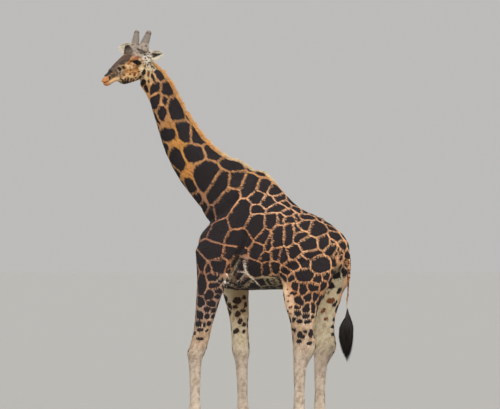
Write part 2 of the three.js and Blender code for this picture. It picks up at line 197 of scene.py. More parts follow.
def face_places(where):
    """Each place in the head's frame: how far forward, out to either side and up it lies."""
    inverse = np.asarray(HEAD.inverted())
    local = where @ inverse[:3, :3].T + inverse[:3, 3]
    return np.column_stack([-local[:, 0], np.abs(local[:, 1]), local[:, 2]])


def remeshed(names, voxel, swell):
    """CAD nodes joined, swelled until they meet and remeshed as one mesh."""
    bm = bmesh.new()
    for name in names:
        bm.from_mesh(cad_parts[name].data)
    bmesh.ops.remove_doubles(bm, verts=bm.verts, dist=1e-5)
    bm.normal_update()
    for vertex in bm.verts:
        vertex.co += vertex.normal * swell
    mesh = bpy.data.meshes.new("flesh")
    bm.to_mesh(mesh)
    bm.free()
    piece = bpy.data.objects.new("flesh", mesh)
    bpy.context.scene.collection.objects.link(piece)
    bpy.ops.object.select_all(action="DESELECT")
    piece.select_set(True)
    bpy.context.view_layer.objects.active = piece
    change = piece.modifiers.new("remesh", "REMESH")
    change.mode = "VOXEL"
    change.voxel_size = voxel
    bpy.ops.object.modifier_apply(modifier=change.name)
    return piece


def largest_part(bm):
    """Keeps only the largest connected part."""
    bm.verts.ensure_lookup_table()
    seen = set()
    best = []
    for start in bm.verts:
        if start in seen:
            continue
        group, queue = [], [start]
        seen.add(start)
        while queue:
            vertex = queue.pop()
            group.append(vertex)
            for edge in vertex.link_edges:
                other = edge.other_vert(vertex)
                if other not in seen:
                    seen.add(other)
                    queue.append(other)
        if len(group) > len(best):
            best = group
    extra = set(bm.verts) - set(best)
    if extra:
        bmesh.ops.delete(bm, geom=list(extra), context="VERTS")


# ---- Skin ----
SKIN = {}  # what later pieces read: the skin's places, normals, tree and values
NECK_CUT = (Vector((-0.90, 0.05, 4.05)), Vector((-0.321, -0.267, 0.909)))


def flesh():
    """The flesh as one mesh, fine on the head and coarser on the body, joined across the upper neck."""
    sizes = bpy.context.scene.giraffe_skin
    swell = 0.002
    body = remeshed((*FLESH, "neck_upper"), sizes.body_grain, swell)
    # The horns are in it so that the skin rises round their feet; the rest of that lies inside them.
    head = remeshed((*HEAD_FLESH, *HORNS, "neck_upper"), sizes.head_grain, swell)
    point, normal = NECK_CUT
    bm = bmesh.new()
    for piece, keep_above in ((body, False), (head, True)):
        part = bmesh.new()
        part.from_mesh(piece.data)
        bmesh.ops.bisect_plane(
            part,
            geom=part.verts[:] + part.edges[:] + part.faces[:],
            plane_co=point,
            plane_no=normal,
            clear_outer=not keep_above,
            clear_inner=keep_above,
            dist=1e-5,
        )
        largest_part(part)
        mesh = bpy.data.meshes.new("part")
        part.to_mesh(mesh)
        part.free()
        bm.from_mesh(mesh)
        bpy.data.meshes.remove(mesh)
        bpy.data.objects.remove(piece)
    rims = [edge for edge in bm.edges if len(edge.link_faces) == 1]
    bmesh.ops.bridge_loops(bm, edges=rims)
    bmesh.ops.recalc_face_normals(bm, faces=bm.faces)
    return bm


def relaxed(mesh):
    """Rounds off the facets. The head, ears, tail and feet keep more of their shape."""
    where = places(mesh)
    edges = edges_of(mesh)
    face = face_places(where)
    near_head = smooth_step(0.5, 0.25, np.linalg.norm(face - [0.3, 0, -0.05], axis=1) - 0.25)
    foot = smooth_step(0.5, 0.2, where[:, 2])
    tail = smooth_step(1.25, 1.32, where[:, 0]) * smooth_step(2.2, 2.1, where[:, 2])
    ear = np.max([reading[-1] for reading in ear_readings(where)], axis=0)
    where = relax(where, edges, 70, 1 - 0.55 * near_head - 0.4 * foot - 0.3 * tail - 0.3 * ear)
    face = face_places(where)
    brow = smooth_step(0.13, 0.07, np.linalg.norm(face - [0.30, 0.11, 0.06], axis=1))
    horn_foot = smooth_step(0.12, 0.07, np.linalg.norm(face - [0.15, 0.08, 0.10], axis=1))
    return relax(where, edges, 90, np.maximum(brow, horn_foot))


def build_skin():
    """The skin: flesh relaxed, pulled in by the coat's depth and shaped on the head and body."""
    sizes = bpy.context.scene.giraffe_skin
    bm = flesh()
    mesh = bpy.data.meshes.new("skin")
    bm.to_mesh(mesh)
    bm.free()
    skin = bpy.data.objects.new("skin", mesh)
    bpy.context.scene.collection.objects.link(skin)
    where = relaxed(mesh)
    set_places(mesh, where)
    where = where - normals_of(mesh) * (sizes.coat_depth + 0.001)
    set_places(mesh, where)
    where = shape_body(where, normals_of(mesh), tree_of(skin))
    where = shape_ears(where)
    set_places(mesh, where)
    SKIN["chart"] = tree_of(skin)  # markings are placed on the skin as it is before the face is worked
    set_places(mesh, shape_face(where, normals_of(mesh)))
    mesh.polygons.foreach_set("use_smooth", np.ones(len(mesh.polygons), bool))
    return skin


# ---- Shaping ----
def along_path(where, path):
    """The distance of each place from a bent line."""
    least = np.full(len(where), np.inf)
    path = np.asarray(path, float)
    for start, end in zip(path[:-1], path[1:]):
        step = end - start
        share = np.clip((where - start) @ step / (step @ step), 0, 1)
        least = np.minimum(least, np.linalg.norm(where - start - share[:, None] * step, axis=1))
    return least


# Strokes on both sides of the head: a path of (forward, out, up) in millimetres, its half width and
# how far it rises or sinks there.
FACE_STROKES = (
    (((782, 0, -40), (752, 30, -54), (700, 44, -60), (630, 52, -54), (572, 55, -47)), 7, -8),  # mouth
    (((780, 0, -24), (750, 32, -36), (700, 47, -40), (640, 53, -36)), 13, 4),  # upper lip
    (((764, 0, -64), (735, 26, -72), (690, 36, -76), (640, 42, -72)), 12, 3),  # lower lip
    (((700, 0, -96), (730, 0, -90)), 26, 3),  # chin
    (((560, 58, -52), (548, 58, -66)), 10, -4),  # fold at the mouth's corner
    (((330, 104, -52), (420, 86, -34), (500, 72, -22)), 15, 4),  # cheek bone
    (((400, 84, 10), (480, 72, 6), (560, 62, 2)), 26, -4),  # hollow beside the nose
    (((235, 84, -110), (275, 78, -150)), 55, 4),  # jaw muscle
    (((120, 84, -60), (112, 80, -120), (150, 66, -190)), 14, -7),  # behind the jaw
    (((165, 104, 44), (120, 100, 30)), 26, -6),  # temple
    (((350, 96, 34), (300, 118, 40), (250, 122, 40), (205, 114, 26)), 12, 6),  # brow's edge
    (((330, 118, 84), (280, 122, 92)), 44, -14),  # the brow is flat from above
    (((240, 112, 14), (222, 108, 2)), 8, 3),  # fold behind the lid
    (((300, 112, -44), (260, 116, -42), (232, 110, -30)), 7, -3),  # under the lower lid
    (((150, 96, 92), (112, 100, 104)), 56, 17),  # the dome rises to the horns
    (((352, 88, -12), (384, 82, -26)), 8, -3),  # tear groove
    (((650, 40, 62), (690, 30, 52), (712, 26, 36)), 10, 4),  # nostril's upper rim
    (((30, 78, -150), (80, 60, -225)), 9, -4),  # throat folds
    (((-10, 84, -190), (40, 66, -262)), 9, -4),
)
# Strokes on both sides of the body: a path of chart points, its half width and its rise in millimetres.
BODY_STROKES = (
    (((246, 234), (243, 246), (236, 258), (228, 272)), 34, -40),  # behind the shoulder
    (((233, 226), (222, 244), (216, 262)), 55, 12),  # shoulder muscle
    (((283, 244), (280, 256), (279, 270), (280, 280)), 30, -26),  # flank fold
    (((244, 262), (252, 275), (262, 283)), 40, -8),
    (((205, 204), (211, 214), (214, 222)), 16, -12),  # folds at the chest
    (((199, 201), (205, 212), (207, 222)), 12, -10),
    (((210, 199), (218, 212)), 12, -6),
    (((222, 199), (232, 205), (238, 199)), 22, -8),
    (((300, 240), (310, 256), (306, 276)), 70, 12),  # thigh
    (((334, 262), (328, 284), (322, 300)), 22, -10),  # between the thigh muscles
    (((318, 219), (312, 223)), 34, 10),  # hip bone
    (((262, 232), (256, 252), (258, 268)), 24, -4),  # ribs
    (((273, 232), (268, 252), (270, 268)), 16, -4),
    (((170, 110), (184, 150), (200, 186)), 20, -6),  # neck furrow
    (((224, 282), (228, 290)), 26, 10),  # elbow
    (((205, 300), (201, 325)), 20, -4),
)


# Lines of colour on both sides of the face: a path of (forward, out, up) in millimetres, half width, colour.
FACE_LINES = (
    (((392, 84, 40), (345, 110, 62), (285, 122, 66), (226, 114, 46)), 16, "#9a5831"),  # rusty brow
    (((350, 104, 90), (285, 118, 94)), 10, "#a27a62"),
    (((372, 96, -34), (330, 112, -42), (280, 120, -48), (235, 116, -38)), 10, "#dcb887"),  # under the eye
    (((782, 0, -40), (752, 30, -54), (700, 44, -60), (630, 52, -54), (572, 55, -47)), 5, "#3a2216"),  # mouth
    (((690, 34, 34), (668, 47, 22), (632, 54, 14), (606, 56, 14)), 6, "#b97a48"),  # under the nostril
)


def shape_face(where, normals):
    """Works the face: lips, nostrils, cheeks, brows and throat."""
    inverse = np.asarray(HEAD.inverted())
    local = where @ inverse[:3, :3].T + inverse[:3, 3]
    face = np.column_stack([-local[:, 0], np.abs(local[:, 1]), local[:, 2]]) * 1000
    near = np.linalg.norm(face - [330, 40, -30], axis=1) < 620
    lift = np.zeros(len(where))
    for path, half, rise in FACE_STROKES:
        lift[near] += rise / 1000 * np.exp(-((along_path(face[near], path) / half) ** 2))
    where = where + normals * lift[:, None]
    # Nostrils: a slanted slit that sinks inwards, with a raised rim.
    long = np.array([0.976, -0.08, -0.2])
    tall = np.array([0.2, 0.0, 0.98])
    gap = face - NOSTRIL
    size = np.sqrt((gap @ long / 37) ** 2 + (gap @ tall / 11) ** 2)
    beside = near & (face[:, 1] > 18) & (np.abs(gap[:, 1]) < 40)
    slit = np.where(beside, smooth_step(1.1, 0.35, size) * 0.022, 0)
    rim = np.where(beside, np.exp(-(((size - 1.5) / 0.45) ** 2)) * 0.0045, 0)
    side = np.where(local[:, 1] < 0, 1.0, -1.0)
    inward = np.column_stack([0.3 * np.ones(len(where)), 0.95 * side, np.zeros(len(where))])
    inward = unit(inward) @ np.asarray(HEAD)[:3, :3].T
    where = where + inward * slit[:, None] + normals * rim[:, None]
    # Eye sockets: what lies under the lids sinks behind the eyeball.
    for sign in (1, -1):
        middle = np.array(head_point(EYE_FORWARD, sign * EYE_OUT, EYE_UP))
        gap = where - middle
        away = np.linalg.norm(gap, axis=1)
        sink = smooth_step(0.046, 0.034, away)
        inside = middle + unit(gap) * (EYE_RADIUS * 0.6)
        where = where + (inside - where) * sink[:, None]
    return where


NOSTRIL = np.array([651.0, 50.5, 29.0])


# Each ear's root, tip and the way its opening faces (forward, out and up), and its half width.
EARS = (
    ((0.084, 0.082, -0.006), (0.009, 0.258, -0.004), (0.8, 0.33, 0.48), 0.055),
    ((0.084, -0.082, 0.034), (0.230, -0.210, 0.170), (0.75, 0.35, 0.3), 0.070),
)


EAR_FULLNESS = (0.18, 0.5)
EAR_LOBES = (0.5, 0.0)  # how far the lower rim bulges


def ear_readings(where):
    """For each ear: its directions along, across and out of its opening, and for each place the share
    of its length, how far it lies aside in half widths, and whether it belongs to the ear at all."""
    readings = []
    for root, tip, face, half in EARS:
        root, tip = np.array(head_point(*root)), np.array(head_point(*tip))
        size = np.linalg.norm(tip - root)
        long = (tip - root) / size
        face = np.array(HEAD.to_3x3() @ Vector((-face[0], -face[1], face[2])))
        face = unit(face - long * (face @ long))
        across = np.cross(long, face)
        gap = where - root
        share = gap @ long / size
        aside = gap @ across / half
        near = (share < 1.15) & (np.abs(aside) < 1.35) & (np.abs(gap @ face) < 0.055)
        belongs = smooth_step(0.1, 0.26, share) * near
        readings.append((long, across, face, half, share, aside, belongs))
    return readings


def shape_ears(where):
    """Cups the ears and fills out their blades: the rims come forward and the middle stays back."""
    for reading, full, lobe in zip(ear_readings(where), EAR_FULLNESS, EAR_LOBES):
        long, across, face, half, share, aside, belongs = reading
        bend = np.clip(aside**2, 0, 1.6) * 0.02 - 0.006
        low = np.clip(-aside * np.sign(across[2]), 0, 1.2)
        growth = full * smooth_step(0.25, 0.7, share) + lobe * low * smooth_step(0.9, 0.3, share)
        wider = aside * half * growth
        longer = 0.016 * smooth_step(0.4, 1.0, share)
        where = where + face * (belongs * bend)[:, None]
        where = where + across * (belongs * wider)[:, None] + long * (belongs * longer)[:, None]
    return where


def shape_body(where, normals, tree):
    """Works the muscles and folds of the body on both sides."""
    lift = np.zeros(len(where))
    for path, half, rise in BODY_STROKES:
        near = [chart_place(column, row, tree)[0] for column, row in path]
        far = [flipped(place, UP, UP)[0] for place in near]
        for side in (near, far):
            far_leg = side is far and near[-1].z < 1.8
            if far_leg:
                continue
            lift += rise / 1000 * np.exp(-((along_path(where, side) / (half / 1000)) ** 2))
    return where + normals * lift[:, None]


# ---- Unwrap and lie of the hair ----
# The middles of the CAD neck's stations, from the withers to the poll, for the unwrap.
NECK_LINE = np.array([
    (-0.172, 0.271, 2.985), (-0.300, 0.261, 3.096), (-0.474, 0.244, 3.224), (-0.644, 0.214, 3.424),
    (-0.745, 0.171, 3.616), (-0.818, 0.121, 3.800), (-0.880, 0.068, 3.982), (-0.945, 0.014, 4.166),
    (-1.048, -0.046, 4.352), (-1.072, -0.120, 4.488),
])
TRUNK_LEFT, TRUNK_RIGHT, NECK_PART, HEAD_PART, FRONT_LEGS, HIND_LEGS, TAIL_PART = range(7)
UV_LOW, UV_HIGH = 0.002, 0.998  # the unwrap keeps off the square's rim
FRONT_END = 0.35  # the forequarters lie before this place, and the hindquarters behind it


def parts_of(where, normals):
    """Which part each place belongs to, its unwrapped place in metres and in the unit square, and
    which way the hair lies there."""
    count = len(where)
    x, y, z = where.T
    inverse = np.asarray(HEAD.inverted())
    local = where @ inverse[:3, :3].T + inverse[:3, 3]
    forward, out, up = -local[:, 0], -local[:, 1], local[:, 2]
    ragged = 0.03 * mottle(where, 0.14)
    in_head = (z > 4.1) & (forward > -0.03) & (up > -0.26) | (forward > 0.16) & (z > 4.0)
    in_neck = ~in_head & (z + ragged > 2.95 + 0.9 * (x + 0.15))
    in_tail = (x > 1.32) & (z < 2.22)
    leg_top = np.where(x < FRONT_END, 1.85, 1.8)
    in_leg = (z + ragged < leg_top) & ~in_tail & ~((np.abs(y - MIDDLE_Y) < 0.12) & (z > 1.7))
    part = np.where(y < MIDDLE_Y, TRUNK_LEFT, TRUNK_RIGHT)
    part = np.where(in_neck, NECK_PART, part)
    part = np.where(in_leg, np.where(x < FRONT_END, FRONT_LEGS, HIND_LEGS), part)
    part = np.where(in_tail, TAIL_PART, part)
    part = np.where(in_head, HEAD_PART, part)

    metres = np.zeros((count, 3))
    square = np.zeros((count, 2))
    flow = np.zeros((count, 3))
    turn = 2 * np.pi

    angle = np.arctan2(y - MIDDLE_Y, -(z - 2.25))  # 0 at the belly
    trunk = part <= TRUNK_RIGHT
    metres[trunk] = np.column_stack([angle * 0.42, x, 0 * x])[trunk]
    half = np.abs(angle) / np.pi
    square[trunk] = np.column_stack([half, (x + 0.6) / 2.1])[trunk]
    slope = smooth_step(0.9, 1.3, x)
    over_leg = smooth_step(2.3, 1.9, z) * smooth_step(0.1, 0.2, np.abs(y - MIDDLE_Y))
    over_leg = over_leg * np.maximum(smooth_step(0.2, -0.05, x), smooth_step(0.55, 0.8, x))
    ahead, fall = (1 - 0.7 * slope) * (1 - over_leg), 0.35 + 0.75 * slope + over_leg
    flow[trunk] = np.column_stack([ahead + 0.05 * over_leg, 0 * x, -fall])[trunk]

    steps = np.linalg.norm(np.diff(NECK_LINE, axis=0), axis=1)
    length = np.concatenate([[0], np.cumsum(steps)])
    share = np.interp(z, NECK_LINE[:, 2], length)
    middle = np.column_stack([np.interp(z, NECK_LINE[:, 2], NECK_LINE[:, axis]) for axis in range(3)])
    tangent = unit(np.array([-0.62, -0.12, 0.78]))
    side = unit(np.cross(tangent, [0, 0, 1.0]))
    above = np.cross(side, tangent)
    gap = where - middle
    angle = np.arctan2(gap @ side, -(gap @ above))  # 0 at the throat
    neck = part == NECK_PART
    metres[neck] = np.column_stack([angle * 0.2, share, 1 + 0 * x])[neck]
    square[neck] = np.column_stack([angle / turn + 0.5, (share + 0.3) / 2.3])[neck]
    flow[neck] = -tangent + np.array([0.0, 0.0, -0.25])

    angle = np.arctan2(out, -(up + 0.03))
    head = part == HEAD_PART
    metres[head] = np.column_stack([angle * 0.12, forward, 2 + 0 * x])[head]
    square[head] = np.column_stack([angle / turn + 0.5, (forward + 0.15) / 0.97])[head]
    back = HEAD.to_3x3() @ Vector((1, 0, -0.35))
    flow[head] = np.array(back)

    for number, front in ((FRONT_LEGS, True), (HIND_LEGS, False)):
        for left in (True, False):
            chosen = (part == number) & ((y < MIDDLE_Y) == left)
            if not chosen.any():
                continue
            line = LEG_LINES[(front, left)]
            middle_x = np.interp(z[chosen], line[:, 1], line[:, 0])
            middle_y = line[0, 2]
            angle = np.arctan2(y[chosen] - middle_y, x[chosen] - middle_x)
            metres[chosen] = np.column_stack([angle * 0.09, z[chosen], 3 + 0 * angle])
            across = (angle / turn + 0.5) * 0.5 + (0 if left else 0.5)
            square[chosen] = np.column_stack([across, z[chosen] / 1.9])
            flow[chosen] = np.array([0.05, 0, -1.0])
    tail = part == TAIL_PART
    angle = np.arctan2(y - MIDDLE_Y, x - 1.36)
    metres[tail] = np.column_stack([angle * 0.02, z, 4 + 0 * x])[tail]
    square[tail] = np.column_stack([angle / turn + 0.5, (z - 1.4) / 1.0])[tail]
    flow[tail] = np.array([0.0, 0, -1.0])

    return part, metres, np.clip(square, UV_LOW, UV_HIGH), flattened(flow, normals)


# Each leg's middle: x, z and y, from the foot up.
LEG_LINES = {
    (True, True): np.array([(-0.56, 0.0, 0.02), (-0.49, 0.4, 0.02), (-0.47, 1.0, 0.02), (-0.28, 1.8, 0.02)]),
    (True, False): np.array([(-0.15, 0.0, 0.53), (-0.10, 0.4, 0.53), (-0.09, 1.0, 0.53), (-0.10, 1.8, 0.53)]),
    (False, True): np.array([(0.74, 0.0, 0.02), (0.80, 0.4, 0.02), (0.93, 1.05, 0.02), (0.90, 1.8, 0.02)]),
    (False, False): np.array([(0.82, 0.0, 0.53), (0.92, 0.4, 0.53), (1.08, 1.05, 0.53), (1.00, 1.8, 0.53)]),
}


# ---- Locks of hair ----
def scattered(mesh, count, random, chosen=None):
    """Random places on a mesh's faces, even by area, with their triangles and shares of the corners."""
    mesh.calc_loop_triangles()
    triangles = np.empty(len(mesh.loop_triangles) * 3, np.int32)
    mesh.loop_triangles.foreach_get("vertices", triangles)
    triangles = triangles.reshape(-1, 3)
    if chosen is not None:
        triangles = triangles[chosen[triangles].all(1)]
    corners = places(mesh)[triangles]
    area = np.linalg.norm(np.cross(corners[:, 1] - corners[:, 0], corners[:, 2] - corners[:, 0]), axis=1)
    sums = np.cumsum(area)
    picks = np.searchsorted(sums, (np.arange(count) + random.uniform(0, 1, count)) / count * sums[-1])
    picks = np.minimum(picks, len(triangles) - 1)
    one, two = random.uniform(0, 1, (2, count))
    over = one + two > 1
    one, two = np.where(over, 1 - one, one), np.where(over, 1 - two, two)
    shares = np.column_stack([1 - one - two, one, two])
    return triangles[picks], shares


def mixed(values, triangles, shares):
    """Values at scattered places from those at the corners."""
    return np.einsum("nc,nck->nk", shares, values[triangles])


def rooted(count, random, chosen):
    """Random places on the chosen part of the skin, with the skin's normals there."""
    triangles, shares = scattered(SKIN["skin"].data, count, random, chosen)
    return mixed(SKIN["where"], triangles, shares), unit(mixed(SKIN["normals"], triangles, shares))


def flattened(way, normals):
    """The ways turned to lie along the surface."""
    return unit(way - normals * np.einsum("nk,nk->n", way, normals)[:, None])


def build_locks(name, middles, sides, tops, widths, thick, spot, values):
    """A joined mesh of closed, tapering locks. middles is (sections, count, 3), and its last section
    is the tip."""
    sections, count = middles.shape[0] - 1, middles.shape[1]
    rings = []
    for index in range(sections):
        half = (widths[index] / 2)[:, None] * sides
        rise = (thick[index])[:, None] * tops
        rings += [middles[index] - half, middles[index] + half, middles[index] + rise]
    rings.append(middles[-1])
    each = 3 * sections + 1
    vertices = np.stack(rings, axis=1).reshape(-1, 3)
    faces = [(0, 1, 2)]
    for index in range(sections - 1):
        low, high = 3 * index, 3 * index + 3
        for one, two in ((0, 1), (1, 2), (2, 0)):
            faces += [(low + two, low + one, high + one), (low + two, high + one, high + two)]
    last = 3 * (sections - 1)
    faces += [(last + 1, last, each - 1), (last + 2, last + 1, each - 1), (last, last + 2, each - 1)]
    faces = np.array(faces)
    index = (np.arange(count) * each)[:, None, None] + faces[None]
    piece = object_from(name, vertices, index.reshape(-1, 3))
    for key, (kind, value) in values.items():
        add_values(piece, key, np.repeat(value, each, axis=0), kind)
    layer = piece.data.uv_layers.new(name="OFBake")
    size = 0.003
    u = np.array([(-0.5, 0.5, 0.0)] * sections + [(0.0,) * 3]).ravel()[:each]
    v = np.concatenate([np.repeat(np.arange(sections) / sections, 3), [1.0]]) - 0.5
    offsets = np.column_stack([u, v]) * size
    uv = (spot[:, None, :] + offsets[None]).reshape(-1, 2)
    loops = np.empty(len(piece.data.loops), np.int32)
    piece.data.loops.foreach_get("vertex_index", loops)
    layer.data.foreach_set("uv", np.clip(uv[loops], 0, 1).astype(np.float32).ravel())
    return piece


# ---- Markings ----
# Each patch on the chart: column, row, half length and half width in squares, and how far its length
# is turned up from the level, in degrees. Columns run to the tail and rows run down.
NECK_PATCHES = (
    (159.5, 73.5, 6.8, 4.0, -60), (153.8, 87.8, 7.2, 4.5, 56), (167.6, 88.6, 7.6, 5.2, -58),
    (154.5, 101.5, 7.6, 4.6, 60), (165.8, 100.6, 4.3, 3.2, -58), (176.5, 107.6, 12.2, 7.4, -58),
    (161.0, 113.0, 7.2, 4.2, 66), (155.6, 118.0, 6.0, 2.4, -70), (166.2, 134.4, 7.2, 5.4, 12),
    (184.5, 130.0, 9.8, 6.4, -64), (197.8, 136.2, 10.5, 5.8, -48), (213.5, 151.8, 11.5, 5.0, -34),
    (194.0, 152.0, 9.6, 7.4, 5), (176.2, 159.0, 9.6, 6.2, -66), (185.3, 189.5, 8.4, 3.9, -60),
    (205.5, 175.0, 14.0, 10.2, 64), (195.6, 197.6, 6.4, 4.0, -50), (217.5, 186.0, 15.5, 7.2, 60),
    (231.0, 163.2, 12.0, 5.0, -25), (224.8, 204.0, 17.2, 8.0, 48), (238.2, 178.4, 8.8, 7.6, 60),
    (249.2, 184.0, 13.0, 7.6, 75),
)
SHOULDER_PATCHES = (
    (207.6, 219.0, 8.2, 4.2, 70), (202.6, 209.0, 4.4, 2.6, 70), (239.6, 214.0, 15.2, 8.2, 62),
    (217.6, 231.8, 11.2, 8.4, 30), (238.4, 238.0, 12.0, 8.4, -6), (209.4, 249.6, 12.6, 8.6, -20),
    (200.4, 262.0, 9.4, 3.6, -76), (218.6, 266.0, 8.0, 7.2, 0), (232.8, 252.6, 9.6, 5.6, 10),
    (208.0, 268.6, 3.8, 3.2, 0), (229.0, 270.2, 3.6, 3.0, 0), (213.6, 277.0, 6.0, 4.0, 0),
    (219.6, 280.2, 3.0, 2.4, 0), (201.6, 284.4, 11.6, 4.6, 90),
)
BACK_PATCHES = (
    (264.0, 186.0, 5.4, 4.6, 0), (274.6, 191.2, 6.2, 3.8, -40), (279.6, 197.6, 5.0, 3.8, 12),
    (256.0, 198.0, 6.6, 5.6, 0), (267.6, 202.8, 7.0, 6.0, 0), (257.0, 208.6, 6.6, 4.0, 0),
    (276.6, 207.6, 10.0, 4.0, 6), (285.2, 203.6, 4.6, 2.8, -20), (288.0, 211.8, 5.8, 2.8, 10),
    (297.0, 209.4, 5.0, 2.5, -25), (255.0, 226.0, 12.0, 7.6, 70), (271.0, 220.6, 6.8, 5.6, 70),
    (280.0, 219.0, 5.0, 3.0, 80), (289.2, 219.8, 6.0, 3.2, 10), (303.0, 211.2, 4.0, 1.8, -20),
    (312.0, 213.2, 5.0, 1.7, -18), (307.0, 217.0, 8.8, 2.6, -3), (305.6, 225.0, 7.6, 4.6, 0),
    (317.6, 228.0, 9.2, 7.2, 0), (330.6, 227.6, 4.6, 2.6, -45), (322.0, 218.4, 5.0, 2.0, -35),
)
FLANK_PATCHES = (
    (263.0, 237.6, 7.6, 5.8, 45), (268.2, 242.0, 8.0, 3.2, 78), (277.2, 236.0, 11.0, 5.6, 80),
    (288.4, 233.6, 11.6, 4.8, 88), (296.8, 229.2, 4.6, 3.0, -45), (299.6, 236.4, 6.6, 4.6, 30),
    (257.6, 250.4, 7.8, 4.6, 78), (265.0, 257.0, 5.6, 4.2, 0), (275.2, 255.0, 6.6, 4.6, 70),
    (253.8, 269.4, 7.4, 6.6, -20), (265.8, 269.8, 6.0, 3.6, 85), (274.6, 267.0, 6.6, 4.0, -70),
    (261.2, 282.2, 5.4, 3.7, -30), (253.0, 285.2, 5.4, 3.8, 0), (268.0, 281.6, 4.6, 2.2, -60),
    (272.6, 281.0, 4.5, 2.1, -55), (277.0, 280.4, 4.4, 2.0, -50),
    (233.6, 264.2, 5.6, 1.9, 62), (241.6, 265.4, 4.6, 2.3, 85), (240.2, 275.8, 3.4, 2.3, 50),
    (246.0, 280.8, 4.2, 1.6, 38), (235.6, 283.6, 3.2, 1.6, 30), (232.6, 271.4, 3.2, 1.7, 62),
    (237.6, 258.0, 4.0, 2.4, 65), (227.2, 268.0, 3.2, 2.2, 60),
)
RUMP_PATCHES = (
    (323.6, 241.2, 7.2, 6.0, 80), (308.0, 243.6, 9.0, 6.6, 0), (335.2, 235.6, 6.2, 4.0, -40),
    (331.6, 241.2, 2.8, 2.2, 0), (331.6, 249.4, 6.6, 5.0, 25), (343.2, 246.0, 4.6, 2.6, -55),
    (341.0, 252.4, 3.2, 2.6, 0), (347.2, 254.6, 4.8, 1.8, -75), (293.0, 251.6, 7.0, 6.0, 40),
    (283.0, 256.0, 5.6, 3.8, 60), (311.0, 254.2, 8.6, 3.8, 12), (303.6, 261.6, 6.2, 4.2, -35),
    (321.0, 264.0, 9.6, 8.6, 0), (292.4, 264.4, 6.2, 3.8, 0), (285.0, 271.2, 4.8, 3.0, -10),
    (304.0, 275.2, 9.2, 6.0, 0), (317.8, 278.6, 4.2, 3.4, 0), (326.4, 276.6, 4.6, 3.6, 70),
    (333.6, 262.4, 5.2, 2.8, 90), (333.4, 271.0, 3.4, 1.8, 70), (291.4, 277.4, 3.8, 2.6, 10),
    (283.6, 276.6, 4.2, 1.8, -40),
)
THIGH_PATCHES = (
    (295.4, 286.4, 4.6, 3.2, 90), (303.0, 288.4, 6.0, 4.0, -80), (313.6, 287.2, 5.6, 3.6, -10),
    (323.6, 285.0, 5.0, 2.5, 55), (293.6, 293.2, 2.9, 1.9, 0), (307.8, 297.0, 4.4, 3.4, 30),
    (315.6, 296.6, 3.6, 3.2, 80), (299.0, 300.4, 5.4, 3.4, -50), (319.4, 300.4, 4.6, 1.8, 70),
    (297.0, 306.8, 2.7, 2.0, 0), (306.4, 308.4, 4.6, 3.2, 55), (313.2, 308.4, 4.7, 2.4, -80),
    (297.4, 313.0, 3.1, 2.5, 0), (306.4, 316.0, 3.9, 2.4, -10), (312.2, 316.8, 1.9, 1.5, 0),
    (294.2, 319.0, 2.6, 1.7, 20), (298.8, 320.6, 3.0, 1.8, -15), (307.8, 320.8, 3.3, 1.9, 20),
    (293.6, 329.4, 1.8, 1.5, 0), (301.0, 335.0, 3.0, 3.0, 0), (311.0, 333.4, 3.4, 2.2, -70),
    (305.4, 331.6, 2.4, 1.4, 20), (299.0, 341.0, 2.0, 1.7, 0), (309.2, 343.2, 2.4, 1.2, 20),
)
FORELEG_PATCHES = (
    (214.4, 285.0, 4.3, 2.9, 10), (218.4, 291.2, 4.1, 2.6, -15), (208.6, 295.2, 6.0, 4.4, 45),
    (218.0, 296.2, 2.6, 2.1, 0), (200.8, 301.0, 4.6, 3.6, 80), (210.8, 303.4, 4.9, 3.0, -28),
    (207.4, 309.0, 2.8, 2.3, 0), (213.5, 310.0, 3.0, 2.1, 15), (199.4, 314.8, 4.2, 3.2, -20),
    (206.9, 316.2, 2.9, 2.1, 0), (213.2, 316.2, 2.3, 1.5, 0), (198.6, 323.6, 3.9, 2.4, 0),
    (204.4, 324.2, 1.8, 1.8, 0), (208.8, 323.4, 2.3, 1.7, 20), (200.0, 329.6, 3.0, 1.4, 5),
    (199.8, 338.6, 3.4, 1.2, -5), (194.6, 333.2, 1.5, 1.0, 50), (207.0, 330.4, 1.6, 0.9, 30),
)
FAR_FORELEG_PATCHES = (
    (237.2, 300.4, 4.0, 3.2, 10), (229.6, 305.6, 3.6, 1.8, -55), (234.6, 306.6, 3.0, 1.6, -10),
    (244.2, 297.2, 2.1, 1.9, 0), (245.6, 304.6, 2.6, 1.4, 80), (237.6, 313.6, 3.2, 2.5, 60),
    (243.0, 310.6, 2.5, 1.8, 10), (240.2, 321.2, 3.0, 2.1, 60), (244.0, 324.4, 2.2, 1.9, 0),
    (236.0, 330.8, 3.0, 2.2, 30), (243.8, 331.2, 1.9, 1.4, 60),
)
FAR_THIGH_EDGE = (
    (336.6, 251.0, 4.4, 2.6, 62), (341.2, 257.4, 2.8, 1.7, 72), (334.4, 262.0, 3.2, 1.8, 64),
    (340.6, 267.0, 2.8, 1.5, 76), (343.8, 249.6, 2.2, 1.4, 74),
    (339.4, 290.6, 3.6, 1.6, 60), (337.2, 311.4, 3.2, 2.2, 70), (334.6, 319.4, 2.4, 2.0, 0),
    (333.4, 326.4, 2.2, 1.8, 0), (333.0, 334.0, 2.0, 1.6, 0), (334.6, 303.4, 3.4, 1.8, 50),
)
